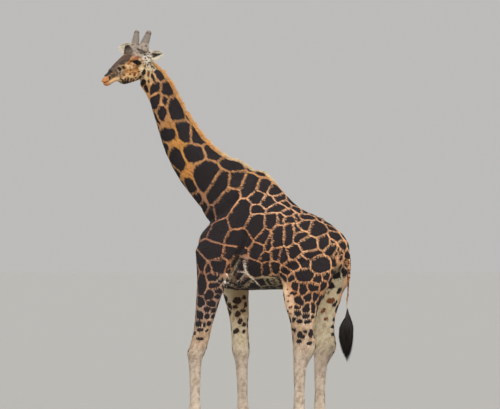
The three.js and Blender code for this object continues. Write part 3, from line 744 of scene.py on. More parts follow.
FACE_SPOTS = (
    (119.3, 68.8, 2.5, 1.6, -62), (123.5, 67.4, 2.1, 1.2, -55), (143.6, 72.6, 3.7, 1.9, 80),
    (144.8, 66.2, 1.2, 0.8, 60), (140.0, 77.0, 2.4, 1.5, 60), (142.6, 82.6, 3.8, 3.0, 50),
    (148.3, 81.6, 2.4, 1.1, -75), (146.0, 88.6, 4.3, 1.9, -72), (152.7, 77.0, 3.6, 1.6, -68),
    (153.7, 67.6, 2.0, 1.0, -75), (151.4, 66.6, 1.2, 0.6, 80), (156.4, 66.0, 1.7, 0.9, -60),
    (147.7, 64.8, 1.1, 0.8, 60), (135.4, 77.5, 1.4, 0.7, 30), (109.6, 78.0, 2.6, 0.9, -78),
    (145.9, 46.3, 1.3, 0.9, 0), (138.4, 49.2, 1.0, 0.5, 10), (140.4, 50.9, 1.7, 0.6, 12),
    (144.2, 53.0, 1.3, 0.7, 20), (144.7, 54.8, 1.4, 0.6, 20), (148.3, 50.8, 0.8, 0.7, 0),
    (149.5, 52.6, 0.9, 0.7, 0), (146.7, 55.9, 0.9, 0.6, 0), (147.5, 54.3, 0.8, 0.6, 0),
    (145.2, 58.0, 1.0, 0.9, 0), (148.3, 57.4, 1.0, 0.7, 0), (146.4, 60.3, 0.8, 0.6, 0),
    (150.9, 54.3, 0.7, 0.5, 0), (142.2, 52.2, 0.9, 0.5, 0), (150.5, 58.0, 0.8, 0.5, 0),
    (149.2, 62.6, 1.0, 0.6, 30), (157.4, 69.6, 1.0, 0.6, -60), (138.8, 80.4, 2.2, 0.9, 62),
    (136.4, 82.4, 1.9, 0.8, 45), (133.4, 80.4, 2.0, 0.7, 68), (130.6, 80.0, 2.2, 0.7, 74),
    (127.8, 79.6, 2.0, 0.7, 78), (125.0, 79.4, 1.8, 0.6, 80), (122.6, 80.4, 1.4, 0.6, 70),
    (132.2, 83.2, 1.6, 0.8, 10), (141.4, 85.8, 1.8, 0.9, 60),
)
RUSTY_SPOTS = (
    (134.4, 74.1, 2.4, 1.3, 78), (130.1, 74.2, 1.3, 0.9, 0), (138.8, 71.4, 1.3, 0.9, 0),
    (148.3, 73.2, 3.6, 1.3, 82), (123.6, 75.0, 1.4, 0.9, 20), (127.0, 76.8, 1.0, 0.6, 0),
    (137.4, 68.6, 1.6, 0.6, -60), (141.4, 76.0, 2.0, 0.7, 75), (348.4, 262.0, 1.5, 0.9, 85),
    (348.2, 270.0, 1.6, 0.9, 88), (348.2, 278.6, 1.5, 0.9, 90), (348.0, 287.0, 1.6, 0.9, 90),
    (347.8, 295.0, 1.5, 0.9, 90), (331.0, 300.6, 4.6, 3.2, 0),
    (323.0, 310.4, 3.4, 1.8, 40), (325.8, 318.6, 2.6, 1.6, 0), (288.0, 301.2, 1.9, 1.0, 20),
    (288.6, 295.6, 2.4, 0.8, 5), (290.4, 307.0, 2.0, 1.2, 15), (290.2, 313.6, 1.8, 0.9, 10),
    (328.6, 292.0, 2.6, 1.2, 30), (287.4, 289.4, 2.0, 0.8, 10),
)

# Soft dabs of the ground colour on the chart: column, row, half length, half width, turn and colour.
FACE_DABS = (
    (131.0, 66.0, 24.0, 17.0, 20, "#bf9060"), (133.0, 69.4, 9.5, 5.5, -15, "#bd8247"),
    (129.4, 66.4, 5.6, 1.8, -22, "#e0ba8a"), (133.0, 76.6, 9.5, 2.6, -4, "#dcb57c"),
    (142.2, 69.0, 3.2, 6.0, 0, "#ecd5aa"), (147.5, 72.0, 6.0, 9.0, 0, "#cdb083"),
    (152.0, 67.0, 6.0, 5.0, 0, "#e0cfae"), (138.0, 47.0, 13.0, 8.0, 0, "#a39588"),
    (134.0, 49.0, 3.6, 2.6, 20, "#9c8b80"), (146.4, 57.0, 4.6, 5.4, 0, "#e6dbce"),
    (150.0, 61.4, 5.0, 2.2, 8, "#f2e8d4"), (116.6, 63.6, 13.0, 4.6, 47, "#5a483a"),
    (124.4, 61.4, 6.4, 2.2, 32, "#3e322a"), (127.6, 56.6, 6.4, 3.4, 30, "#533e33"),
    (114.0, 74.0, 7.0, 4.4, 36, "#4f4034"), (119.6, 72.0, 4.6, 3.6, 30, "#604d41"),
    (104.2, 82.4, 3.8, 3.4, 30, "#be7a42"), (107.4, 78.0, 2.6, 1.6, 50, "#ad6f3e"),
    (113.6, 79.8, 6.2, 1.9, 8, "#dfae75"), (118.2, 79.4, 2.6, 1.3, 0, "#e4c89f"),
    (107.8, 72.8, 4.8, 2.3, 46, "#3a302b"), (113.6, 67.6, 2.2, 1.1, 45, "#4a3f3a"),
    # The first dab on the next line is the nostril's slit: its dark skin, made near black by painted shade in
    # the opening.
    (112.0, 73.3, 1.5, 0.9, 42, "#0e0a08"), (149.6, 51.6, 4.4, 3.0, -25, "#d3c8bc"),
    # The two dabs on the next line are partly dark hair and partly painted shadow under the jaw and at the
    # mouth's corner.
    (125.4, 82.4, 5.6, 1.5, -2, "#2b2017"), (121.6, 79.4, 2.2, 0.9, -30, "#3a2a1b"),
)
BODY_DABS = (
    (227.4, 279.6, 4.0, 3.6, 40, "#b89f88"), (240.0, 268.0, 13.0, 10.0, 55, "#54443a"),
    # The two dabs on the next line lay a darker olive strip low along the belly: painted shade under the
    # belly.
    (262.0, 281.0, 26.0, 4.0, 4, "#9d8a6c"), (262.0, 288.0, 26.0, 3.0, 4, "#8a7c5b"),
    (285.5, 297.0, 16.0, 6.0, -70, "#f8d5b0"), (336.0, 282.0, 20.0, 8.0, 62, "#d5c6a2"),
    (327.0, 303.0, 16.0, 9.0, 60, "#d9c5a0"), (178.0, 143.0, 26.0, 9.0, -66, "#d4954c"),
    (186.0, 172.0, 14.0, 7.0, -60, "#d4934b"), (240.0, 305.0, 22.0, 10.0, 90, "#b89a72"),
    (220.0, 281.0, 9.0, 7.0, 20, "#ae8f75"), (345.0, 290.0, 50.0, 3.0, 90, "#dba78c"),
    (243.4, 265.6, 5.4, 3.0, 80, "#66544a"), (239.6, 277.4, 4.4, 2.4, 50, "#5e5047"),
    (246.4, 280.4, 3.6, 2.0, -50, "#6a5b54"), (240.0, 284.4, 5.0, 1.6, 30, "#574a3c"),
    (236.4, 261.0, 7.0, 3.2, 70, "#3a281b"), (246.4, 257.6, 5.0, 1.5, -10, "#b08f78"),
    # The next dab is painted shadow, near black, in the fold behind the elbow.
    (241.6, 249.6, 6.6, 4.6, -62, "#2a1b14"),
)
# Bright lines in the folds behind the elbow and on the belly: a path on the chart, half width, colour.
STREAKS = (
    (((243.5, 261), (244, 266), (245.5, 271.5), (249.5, 276.5), (254, 280), (259, 284.5)), 0.95, "#ecdcc7"),
    (((256, 278.4), (263, 276.8), (270, 277.5), (279, 277)), 0.9, "#bda685"),
    (((245.5, 272), (242, 277), (237.5, 281.5), (231, 285.5)), 0.7, "#d3c4ae"),
    (((238, 271.5), (242.5, 271.5), (245, 272)), 0.9, "#d3c0ae"),
    (((251.5, 281), (247, 286), (239, 288.6)), 0.8, "#ab9a7b"),
    (((238.6, 260), (235, 267.5), (231.5, 275.5), (229.5, 281)), 0.75, "#a39e7e"),
    (((234.5, 254), (231, 260.5), (230.2, 264), (234, 266.5)), 0.8, "#a07853"),
    (((226.5, 274), (229, 278.5)), 0.7, "#f4e2cd"),
    (((224.5, 281.5), (228.5, 283)), 1.1, "#fff6ea"),
    (((223.5, 285), (226.5, 287)), 0.8, "#ecdcc8"),
    (((264.3, 277), (265.5, 283), (269.5, 287)), 0.55, "#aca178"),
    (((269.5, 277.5), (274.5, 284)), 0.5, "#aca178"),
    (((274, 277), (279.5, 283.5)), 0.5, "#aca178"),
)
# Where the neck's golden ground is freckled with brown.
FRECKLED = ((171.0, 123.0, 8.0, 4.6, -10), (177.0, 142.0, 10.0, 7.0, 60), (187.0, 168.0, 9.0, 5.0, -60))


class Marks:
    """A growing set of oval marks on the skin, each with its place, lie, size and colour."""

    def __init__(self):
        self.rows = []

    def add(self, place, normal, axis, long, wide, colour, line, reach):
        """Adds one mark."""
        self.rows.append((*place, *normal, *axis, long, wide, *colour, line, reach))

    def array(self):
        """The marks as an array: place 0-2, normal 3-5, axis 6-8, sizes 9-10, colour 11-13, line, reach."""
        return np.array(self.rows, float).reshape(-1, 16)

    def free(self, place, radius, share):
        """Whether a new mark of that radius would keep clear of all others."""
        if not self.rows:
            return True
        rows = np.array([(*row[:3], math.sqrt(row[9] * row[10])) for row in self.rows])
        gap = np.linalg.norm(rows[:, :3] - np.asarray(place), axis=1)
        return bool((gap > share * (rows[:, 3] + radius)).all())


CAMERA_AT = AWAY * (DEPTH_MIDDLE - CAMERA_AWAY) + ALONG * ALONG_MIDDLE + UP * CAMERA_HIGH


def chart_place(column, row, tree):
    """The place on the skin behind a point of the chart, with its normal."""
    along = ALONG_MIDDLE + (column - CHART_MIDDLE) * SQUARE
    high = (CHART_FOOT - row) * SQUARE
    on_chart = ALONG * along + AWAY * DEPTH_MIDDLE + UP * high
    ray = (on_chart - CAMERA_AT).normalized()
    place, normal, _, _ = tree.ray_cast(CAMERA_AT, ray)
    if place is None:
        place, normal, _, _ = tree.find_nearest(on_chart)
    return place, normal


def chart_oval(column, row, long, wide, turn):
    """An oval of the chart laid on the skin: its place, normal, axis, half length and half width."""
    place, normal = chart_place(column, row, SKIN["chart"])
    angle = math.radians(turn)
    slope = min(AWAY.dot(normal), -0.5)
    ways = []
    lengthwise = ALONG * math.cos(angle) + UP * math.sin(angle)
    crosswise = UP * math.cos(angle) - ALONG * math.sin(angle)
    for flat in (lengthwise, crosswise):
        ways.append(flat - AWAY * (flat.dot(normal) / slope))
    axis = ways[0] - normal * ways[0].dot(normal)
    sizes = [size * SQUARE * min(way.length, MOST_STRETCH) for size, way in zip((long, wide), ways)]
    return place, normal, axis.normalized(), *sizes


MOST_STRETCH = 1.6  # ovals grow no more than this where the skin slopes away


def flipped(place, normal, axis):
    """The same mark on the other side of the head, neck or trunk."""
    local = HEAD.inverted() @ place
    if local.x > -0.85 and local.x < 0.12 and local.z > -0.26 - 0.2 * max(0, local.x):
        swap = HEAD @ Matrix.Diagonal((1, -1, 1, 1)) @ HEAD.inverted()
        turn = swap.to_3x3()
        return swap @ place, turn @ normal, turn @ axis, "head"
    middle = float(np.interp(place.z, NECK_LEVELS, NECK_MIDDLES)) if place.x < 0.1 else MIDDLE_Y
    return (
        Vector((place.x, 2 * middle - place.y, place.z)),
        Vector((normal.x, -normal.y, normal.z)),
        Vector((axis.x, -axis.y, axis.z)),
        "body",
    )


NECK_LEVELS = (2.985, 3.096, 3.224, 3.424, 3.616, 3.800, 3.982, 4.166, 4.352)
NECK_MIDDLES = (0.271, 0.261, 0.244, 0.214, 0.171, 0.121, 0.068, 0.014, -0.046)


def region_size(place):
    """How large patches are there, in metres: large on the neck and shoulder, small down the legs."""
    x, _, z = place
    trunk = 0.075 - 0.014 * smooth_step(0.3, 1.0, x) + 0.03 * smooth_step(0.2, -0.3, x)
    neck = 0.094 - 0.034 * smooth_step(3.5, 4.4, z)
    size = trunk + (neck - trunk) * smooth_step(2.7, 3.1, z)
    leg = 0.018 + 0.034 * smooth_step(1.1, 1.75, z)
    return float(leg + (size - leg) * smooth_step(1.55, 1.95, z))


def mark_skin(tree, where, normals):
    """All the marks: the chart's, their likeness on the far side, and fill."""
    dark, rust = tuple(bpy.context.scene.giraffe_coat.patch_colour), linear("#7c4527")
    face_dark, warm_dark = linear("#221814"), linear("#38251e")
    marks = Marks()
    groups = (
        (NECK_PATCHES, dark, 0.0130, 1.34), (SHOULDER_PATCHES, dark, 0.0098, 1.6),
        (BACK_PATCHES, dark, 0.0086, 1.7), (FLANK_PATCHES, dark, 0.0082, 1.7),
        (RUMP_PATCHES, dark, 0.0088, 1.6), (THIGH_PATCHES, dark, 0.008, 1.45),
        (FORELEG_PATCHES, dark, 0.007, 1.4), (FAR_FORELEG_PATCHES, warm_dark, 0.006, 1.2),
        (FAR_THIGH_EDGE, dark, 0.006, 1.15), (FACE_SPOTS, face_dark, 0.003, 1.0),
        (RUSTY_SPOTS, rust, 0.004, 1.0),
    )
    random = np.random.default_rng(MARK_SEED)
    copies = []
    for rows, colour, line, reach in groups:
        for column, row, long, wide, turn in rows:
            place, normal, axis, *sizes = chart_oval(column, row, long, wide, turn)
            marks.add(place, normal, axis, *sizes, colour, line, reach)
            if place.z > 1.85 or rows is FACE_SPOTS:
                copies.append((place, normal, axis, *sizes, colour, line, reach))
    for place, normal, axis, long, wide, colour, line, reach in copies:
        place, normal, axis, part = flipped(place, normal, axis)
        radius = math.sqrt(long * wide)
        if part == "body":
            place = place + Vector(random.normal(0, 0.3 * radius, 3))
            stretch = float(np.exp(random.normal(0, 0.12)))
            long, wide = long * stretch, wide / stretch
        place, normal, _, _ = tree.find_nearest(place)
        axis = (axis - normal * axis.dot(normal)).normalized()
        if marks.free(place, radius, 0.78 if part == "body" else 0.4):
            marks.add(place, normal, axis, long, wide, colour, line, reach)
    order = random.permutation(len(where))[:9000]
    for index in order:
        place, normal = Vector(where[index]), Vector(normals[index])
        local = HEAD.inverted() @ place
        if place.z < 0.95 or (local.x < 0.1 and local.z > -0.3 and place.x < -0.85):
            continue
        if place.x > 1.25 and place.z < 2.25:
            continue
        to_camera = (CAMERA_AT - place).normalized()
        if normal.dot(to_camera) > 0.28 and tree.ray_cast(place + to_camera * 0.02, to_camera)[0] is None:
            continue
        radius = region_size(place) * float(random.uniform(0.8, 1.15))
        inner = place.z < 1.8 and abs(normal.y) > 0.5 and (normal.y > 0) == (place.y < MIDDLE_Y)
        if inner and random.uniform() < 0.6:
            continue
        if marks.free(place, radius, 0.92):
            stretch = float(np.exp(random.normal(0.12, 0.12)))
            axis = Vector(random.normal(0, 1, 3)) + Vector((0, 0, 1.2))
            axis = (axis - normal * axis.dot(normal)).normalized()
            line = float(np.interp(place.z, (1.2, 1.9, 2.8, 3.4), (0.006, 0.0085, 0.009, 0.0125)))
            colour = warm_dark if inner else dark
            marks.add(place, normal, axis, radius * stretch, radius / stretch, colour, line, 1.3)
    return marks.array()


def read_marks(marks, where, normals):
    """For each place: how far inside a patch it lies, in metres, and that patch's colour."""
    edge = np.empty(len(where))
    colour = np.empty((len(where), 3))
    long, wide = marks[:, 9], marks[:, 10]
    stretch, radius2 = long / wide, long * wide
    nearest_count = 6
    for start in range(0, len(where), 4000):
        part = slice(start, start + 4000)
        gap = where[part, None, :] - marks[None, :, :3]
        along = np.einsum("nmk,mk->nm", gap, marks[:, 6:9])
        square = np.einsum("nmk,nmk->nm", gap, gap)
        across = np.maximum(square - along**2, 0)
        oval = along**2 / stretch + across * stretch
        facing = normals[part] @ marks[:, 3:6].T
        power = oval - radius2 + 5 * radius2 * smooth_step(0.1, -0.5, facing)
        near = np.argpartition(power, nearest_count, axis=1)[:, :nearest_count]
        near = np.take_along_axis(
            near, np.argsort(np.take_along_axis(power, near, 1), axis=1), 1
        )
        rows = np.arange(len(near))[:, None]
        powers = power[rows, near]
        gaps, axes = gap[rows, near], marks[near][:, :, 6:9]
        reach_along = np.take_along_axis(along, near, 1)[..., None] * axes
        ratio = stretch[near][..., None]
        slope = 2 * (reach_along / ratio + (gaps - reach_along) * ratio)
        steep = np.linalg.norm(slope[:, 1:] - slope[:, :1], axis=2)
        to_border = ((powers[:, 1:] - powers[:, :1]) / np.maximum(steep, 1e-6)).min(1)
        first = near[:, 0]
        own = np.sqrt(radius2[first]) * marks[first, 15] - np.sqrt(oval[rows[:, 0], first])
        edge[part] = np.minimum(to_border - marks[first, 14], own)
        colour[part] = marks[first, 11:14]
    return np.clip(edge, -0.05, 0.05), colour


def chart_dabs():
    """The soft dabs as places on the skin, with those of the head on both its sides."""
    dabs = []
    for column, row, long, wide, turn, code in (*BODY_DABS, *FACE_DABS):
        place, normal, axis, long, wide = chart_oval(column, row, long, wide, turn)
        dabs.append((place, axis, long, wide, code))
        if row < 90:
            place, normal, axis, _ = flipped(place, normal, axis)
            dabs.append((place, axis, long, wide, code))
    return dabs


def oval_size(where, place, axis, long, wide):
    """How far out each place lies in an oval: 0 at its middle and 1 on its rim."""
    gap = where - np.array(place)
    along = gap @ np.array(axis)
    across = np.maximum((gap**2).sum(1) - along**2, 0)
    return np.sqrt((along / long) ** 2 + across / wide**2)


MOTTLE_WAYS = np.array([(0.83, 0.41, -0.38), (-0.29, 0.77, 0.57), (0.48, -0.52, 0.70), (0.10, 0.35, 0.93)])


def mottle(where, size):
    """A soft blotchy field from -1 to 1, with blotches about that large."""
    waves = where @ MOTTLE_WAYS.T * (2 * np.pi / size)
    bent = waves + 1.1 * np.sin(0.6 * np.roll(waves, 1, axis=1) + 1)
    coarse = np.sin(bent[:, 0]) * np.sin(bent[:, 1])
    fine = np.sin(1.9 * bent[:, 2]) * np.sin(1.7 * bent[:, 3])
    return (coarse + fine) / 1.4


def paint(where, normals):
    """The coat's values at any places: the depth inside a patch, the patch's colour and the ground's."""
    edge, patch = read_marks(SKIN["marks"], where, normals)
    x, y, z = where.T
    colour = np.tile(linear("#cb8d60"), (len(where), 1))

    def lay(code, amount):
        nonlocal colour
        amount = np.clip(amount, 0, 1)[:, None]
        colour = colour * (1 - amount) + np.array(linear(code)) * amount

    # The hindquarters and the top of the back are laid lighter: partly the coat's paler tone there and partly
    # painted light where the light falls from above.
    lay("#f3b987", smooth_step(0.2, 1.0, x) * smooth_step(1.6, 2.3, z))
    lay("#f0b88e", smooth_step(2.45, 2.8, z) * smooth_step(-0.1, 0.3, x))
    lay("#aa7a5e", smooth_step(0.1, -0.25, x) * smooth_step(1.6, 2.0, z))
    lay("#c08c5c", smooth_step(2.75, 3.15, z))
    lay("#cf9a5c", smooth_step(2.75, 3.15, z) * smooth_step(-0.15, -0.7, normals[:, 0]))
    # Painted shade: the underside of the belly, where the skin faces down, is laid a darker olive grey.
    lay("#9f9272", smooth_step(2.25, 2.0, z) * smooth_step(-0.35, -0.8, normals[:, 2]))
    lay("#a17c66", smooth_step(1.95, 1.7, z) * smooth_step(0.3, 0.1, x))
    lay("#dcb48c", smooth_step(1.75, 1.45, z) * smooth_step(0.3, 0.5, x))
    lay("#bb9b7b", smooth_step(1.5, 1.25, z))
    inner = np.where(y < MIDDLE_Y, normals[:, 1], -normals[:, 1])
    lay("#d3c29f", smooth_step(1.95, 1.7, z) * smooth_step(0.2, 0.7, inner))
    lay("#c8b5a0", smooth_step(1.25, 0.9, z))
    face = face_places(where)
    lay("#d4c4a9", smooth_step(-0.06, 0.02, face[:, 0]) * smooth_step(-0.14, -0.04, face[:, 2]) * (z > 4.2))
    for place, axis, long, wide, code in SKIN["dabs"]:
        rim, core = (1.12, 0.86) if sum(linear(code)) < 0.12 else (1.45, 0.35)
        lay(code, smooth_step(rim, core, oval_size(where, place, axis, long, wide)))
    for path, half, code in SKIN["streaks"]:
        gap = along_path(where, path)
        lay(code, smooth_step(1.6 * half, 0.4 * half, gap))
        edge = np.minimum(edge, gap - half)
    on_tail = smooth_step(1.30, 1.34, x) * smooth_step(2.24, 2.16, z)
    lay("#2b2122", on_tail * smooth_step(0.12, 0.34, mottle(where, 0.085)))
    stained = smooth_step(1.75, 1.4, z)
    soil = mottle(where, 0.10)
    lay("#80695a", 0.5 * stained * smooth_step(0.05, 0.8, soil))
    lay("#dccfbd", 0.45 * stained * smooth_step(-0.1, -0.8, soil))
    blotch = mottle(where, 0.075)
    furred = (z > 4.2) * smooth_step(0.0, 0.08, face[:, 0]) * smooth_step(0.64, 0.54, face[:, 0])
    lay("#553f2d", 0.62 * furred * smooth_step(0.15, 0.8, blotch))
    lay("#ead0a4", 0.45 * furred * smooth_step(-0.15, -0.8, blotch) * smooth_step(0.08, 0.03, face[:, 2]))
    for path, half, code in FACE_LINES:
        gap = along_path(face * 1000, path)
        lay(code, 0.9 * smooth_step(1.5 * half, 0.5 * half, gap))
    # The black round the eye is a lens that slants up to the front: partly the dark lids and partly painted
    # shadow of the lashes and the brow.
    ahead, high = face[:, 0] - 0.287, face[:, 2] - 0.004
    along, across = 0.80 * ahead + 0.60 * high, 0.80 * high - 0.60 * ahead
    lens = (along / 0.078) ** 2 + np.abs(across) / 0.028
    lay("#130e0b", smooth_step(1.15, 0.85, lens) * smooth_step(0.06, 0.08, face[:, 1]))
    # Each ear is pale in its opening and darker on its back; deep in the hollow the colour is painted shade,
    # full on the left ear and weaker on the right.
    for (_, _, opening, _, share, aside, belongs), dark in zip(ear_readings(where), (1.0, 0.35)):
        inside = smooth_step(-0.1, 0.25, normals @ opening)
        edge = np.where(belongs > 0.5, -0.05, edge)
        lay("#cfc0a8", belongs * (1 - inside))
        lay("#f3e9d2", belongs * inside)
        hollow = smooth_step(0.62, 0.42, np.abs(aside + 0.1) + 0.7 * np.maximum(share - 0.3, 0))
        lay("#25170f", dark * belongs * inside * hollow * smooth_step(0.04, 0.12, share))
    return edge, patch, colour


# ---- Materials ----
def add_node(tree, kind, settings=None, values=None, links=None):
    """Adds a shader node with its settings, its sockets' values and the links into it."""
    node = tree.nodes.new(kind)
    for key, value in (settings or {}).items():
        setattr(node, key, value)
    for key, value in (values or {}).items():
        node.inputs[key].default_value = value
    for key, source in (links or {}).items():
        tree.links.new(source, node.inputs[key])
    return node


def new_material(name):
    """An empty material with its output node."""
    material = bpy.data.materials.new(name)
    material.use_nodes = True
    material.node_tree.nodes.clear()
    output = add_node(material.node_tree, "ShaderNodeOutputMaterial")
    return material, material.node_tree, output


def coat_material():
    """Short giraffe hair: matt, with a faint sheen where it lies flat, and frayed patch edges."""
    material, tree, output = new_material("short_hair")
    ground = add_node(tree, "ShaderNodeAttribute", {"attribute_name": "ground"})
    patch = add_node(tree, "ShaderNodeAttribute", {"attribute_name": "patch"})
    edge = add_node(tree, "ShaderNodeAttribute", {"attribute_name": "edge"})
    lie = add_node(tree, "ShaderNodeAttribute", {"attribute_name": "lie"})
    # Hair lies in streaks 4 mm wide and some 30 mm long.
    streaks = add_node(
        tree, "ShaderNodeMapping", {"vector_type": "POINT"}, {"Scale": (240, 34, 40)},
        {"Vector": lie.outputs["Vector"]},
    )
    hair = add_node(
        tree, "ShaderNodeTexNoise", None, {"Scale": 1.0, "Detail": 3.0, "Roughness": 0.6},
        {"Vector": streaks.outputs["Vector"]},
    )
    # Patch edges fray along the hair by a few millimetres.
    frayed = add_node(
        tree, "ShaderNodeMapping", {"vector_type": "POINT"}, {"Scale": (70, 30, 20)},
        {"Vector": lie.outputs["Vector"]},
    )
    fray = add_node(
        tree, "ShaderNodeTexNoise", None, {"Scale": 1.0, "Detail": 4.0, "Roughness": 0.65},
        {"Vector": frayed.outputs["Vector"]},
    )
    shift = add_node(
        tree, "ShaderNodeMath", {"operation": "MULTIPLY_ADD"}, {1: 0.036, 2: -0.018}, {0: fray.outputs["Fac"]}
    )
    moved = add_node(
        tree, "ShaderNodeMath", {"operation": "ADD"}, None, {0: edge.outputs["Fac"], 1: shift.outputs[0]}
    )
    inside = add_node(
        tree, "ShaderNodeMapRange", {"interpolation_type": "SMOOTHSTEP"},
        {"From Min": -0.0022, "From Max": 0.0022}, {"Value": moved.outputs[0]},
    )
    colour = add_node(
        tree, "ShaderNodeMix", {"data_type": "RGBA"}, None,
        {0: inside.outputs[0], 6: ground.outputs["Color"], 7: patch.outputs["Color"]},
    )
    # Light and dark hairs lie side by side.
    shade = add_node(
        tree, "ShaderNodeMapRange", None,
        {"From Min": 0.25, "From Max": 0.75, "To Min": 0.72, "To Max": 1.22}, {"Value": hair.outputs["Fac"]},
    )
    varied = add_node(
        tree, "ShaderNodeVectorMath", {"operation": "SCALE"}, None,
        {0: colour.outputs[2], "Scale": shade.outputs[0]},
    )
    bump = add_node(
        tree, "ShaderNodeBump", None, {"Strength": 0.5, "Distance": 0.002}, {"Height": hair.outputs["Fac"]}
    )
    shader = add_node(
        tree, "ShaderNodeBsdfPrincipled", None,
        {"Roughness": 0.62, "Specular IOR Level": 0.16, "Sheen Weight": 0.06, "Sheen Roughness": 0.45},
        {"Base Color": varied.outputs[0], "Normal": bump.outputs["Normal"]},
    )
    tree.links.new(shader.outputs[0], output.inputs["Surface"])
    return material


def plain_noise_material(name, codes, scale, roughness, bump_height, stretch=(1, 1, 1)):
    """A matt or horny finish whose colour wanders between two tones."""
    material, tree, output = new_material(name)
    spot = add_node(tree, "ShaderNodeTexCoord")
    mapped = add_node(
        tree, "ShaderNodeMapping", {"vector_type": "POINT"}, {"Scale": stretch},
        {"Vector": spot.outputs["Object"]},
    )
    noise = add_node(
        tree, "ShaderNodeTexNoise", None, {"Scale": scale, "Detail": 5.0, "Roughness": 0.6},
        {"Vector": mapped.outputs["Vector"]},
    )
    colour = add_node(
        tree, "ShaderNodeMix", {"data_type": "RGBA"}, {6: (*linear(codes[0]), 1), 7: (*linear(codes[1]), 1)},
        {0: noise.outputs["Fac"]},
    )
    bump = add_node(
        tree, "ShaderNodeBump", None, {"Strength": 0.6, "Distance": bump_height},
        {"Height": noise.outputs["Fac"]},
    )
    shader = add_node(
        tree, "ShaderNodeBsdfPrincipled", None, {"Roughness": roughness},
        {"Base Color": colour.outputs[2], "Normal": bump.outputs["Normal"]},
    )
    tree.links.new(shader.outputs[0], output.inputs["Surface"])
    return material


# ---- Settings ----
class GiraffeSkinSettings(bpy.types.PropertyGroup):
    """Sizes of the skin."""

    coat_depth: FloatProperty(
        name="Coat depth", description="How far the skin lies inside the coat's outline", default=0.004,
        min=0, unit="LENGTH",
    )
    body_grain: FloatProperty(
        name="Body grain", description="Size of the body's mesh cells",
        default=0.0172, min=0.01, unit="LENGTH",
    )
    head_grain: FloatProperty(
        name="Head grain", description="Size of the head's mesh cells",
        default=0.0065, min=0.004, unit="LENGTH",
    )


class GiraffeCoatSettings(bpy.types.PropertyGroup):
    """Colours of the coat."""

    patch_colour: FloatVectorProperty(
        name="Patch colour", description="Colour of the dark patches",
        default=linear("#271f21"), subtype="COLOR",
        min=0, max=1,
    )
    tooth_length: FloatProperty(
        name="Tooth length", description="How far the patches' frayed edges reach along the hair",
        default=0.028,
        min=0, unit="LENGTH",
    )


class GiraffeManeSettings(bpy.types.PropertyGroup):
    """Sizes of the mane."""

    height: FloatProperty(
        name="Mane height", description="Length of the mane's locks", default=0.078, min=0.01, unit="LENGTH"
    )
    half_width: FloatProperty(
        name="Half width", description="How far the mane reaches to each side", default=0.033, min=0.004,
        unit="LENGTH",
    )


class GiraffeStageSettings(bpy.types.PropertyGroup):
    """Light and floor."""

    light_power: FloatProperty(
        name="Key light", description="Strength of the main soft light", default=3.1, min=0
    )
    sky_power: FloatProperty(
        name="Sky", description="Strength of the even light all round", default=0.62, min=0
    )


class GIRAFFE_OT_skin(bpy.types.Operator):
    """Builds the skin with its markings and eyelids"""

    bl_idname = "giraffe.skin"
    bl_label = "Skin"

    def execute(self, context):
        skin = build_skin()
        add_lids(skin, tree_of(skin))
        where, normals = places(skin.data), normals_of(skin.data)
        tree = tree_of(skin)
        SKIN["marks"] = mark_skin(SKIN["chart"], where, normals)
        SKIN["dabs"] = chart_dabs()
        SKIN["streaks"] = [
            ([chart_place(column, row, SKIN["chart"])[0] for column, row in path], half * SQUARE, code)
            for path, half, code in STREAKS
        ]
        part, metres, _, _ = parts_of(where, normals)
        add_coat_values(skin, *paint(where, normals), metres)
        material = coat_material()
        skin.data.materials.append(material)
        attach(skin, "root")
        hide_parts(*FLESH, *HEAD_FLESH, "neck_upper")
        SKIN.update(skin=skin, where=where, normals=normals, tree=tree, part=part, material=material)
        SKIN["strand"] = strand_material()
        return {"FINISHED"}


def add_coat_values(piece, edge, patch, ground, metres):
    """Stores what the coat's material reads."""
    add_values(piece, "edge", edge)
    add_values(piece, "patch", patch, "FLOAT_COLOR")
    add_values(piece, "ground", ground, "FLOAT_COLOR")
    add_values(piece, "lie", metres, "FLOAT_VECTOR")


LID_CLEARANCE = 0.0012


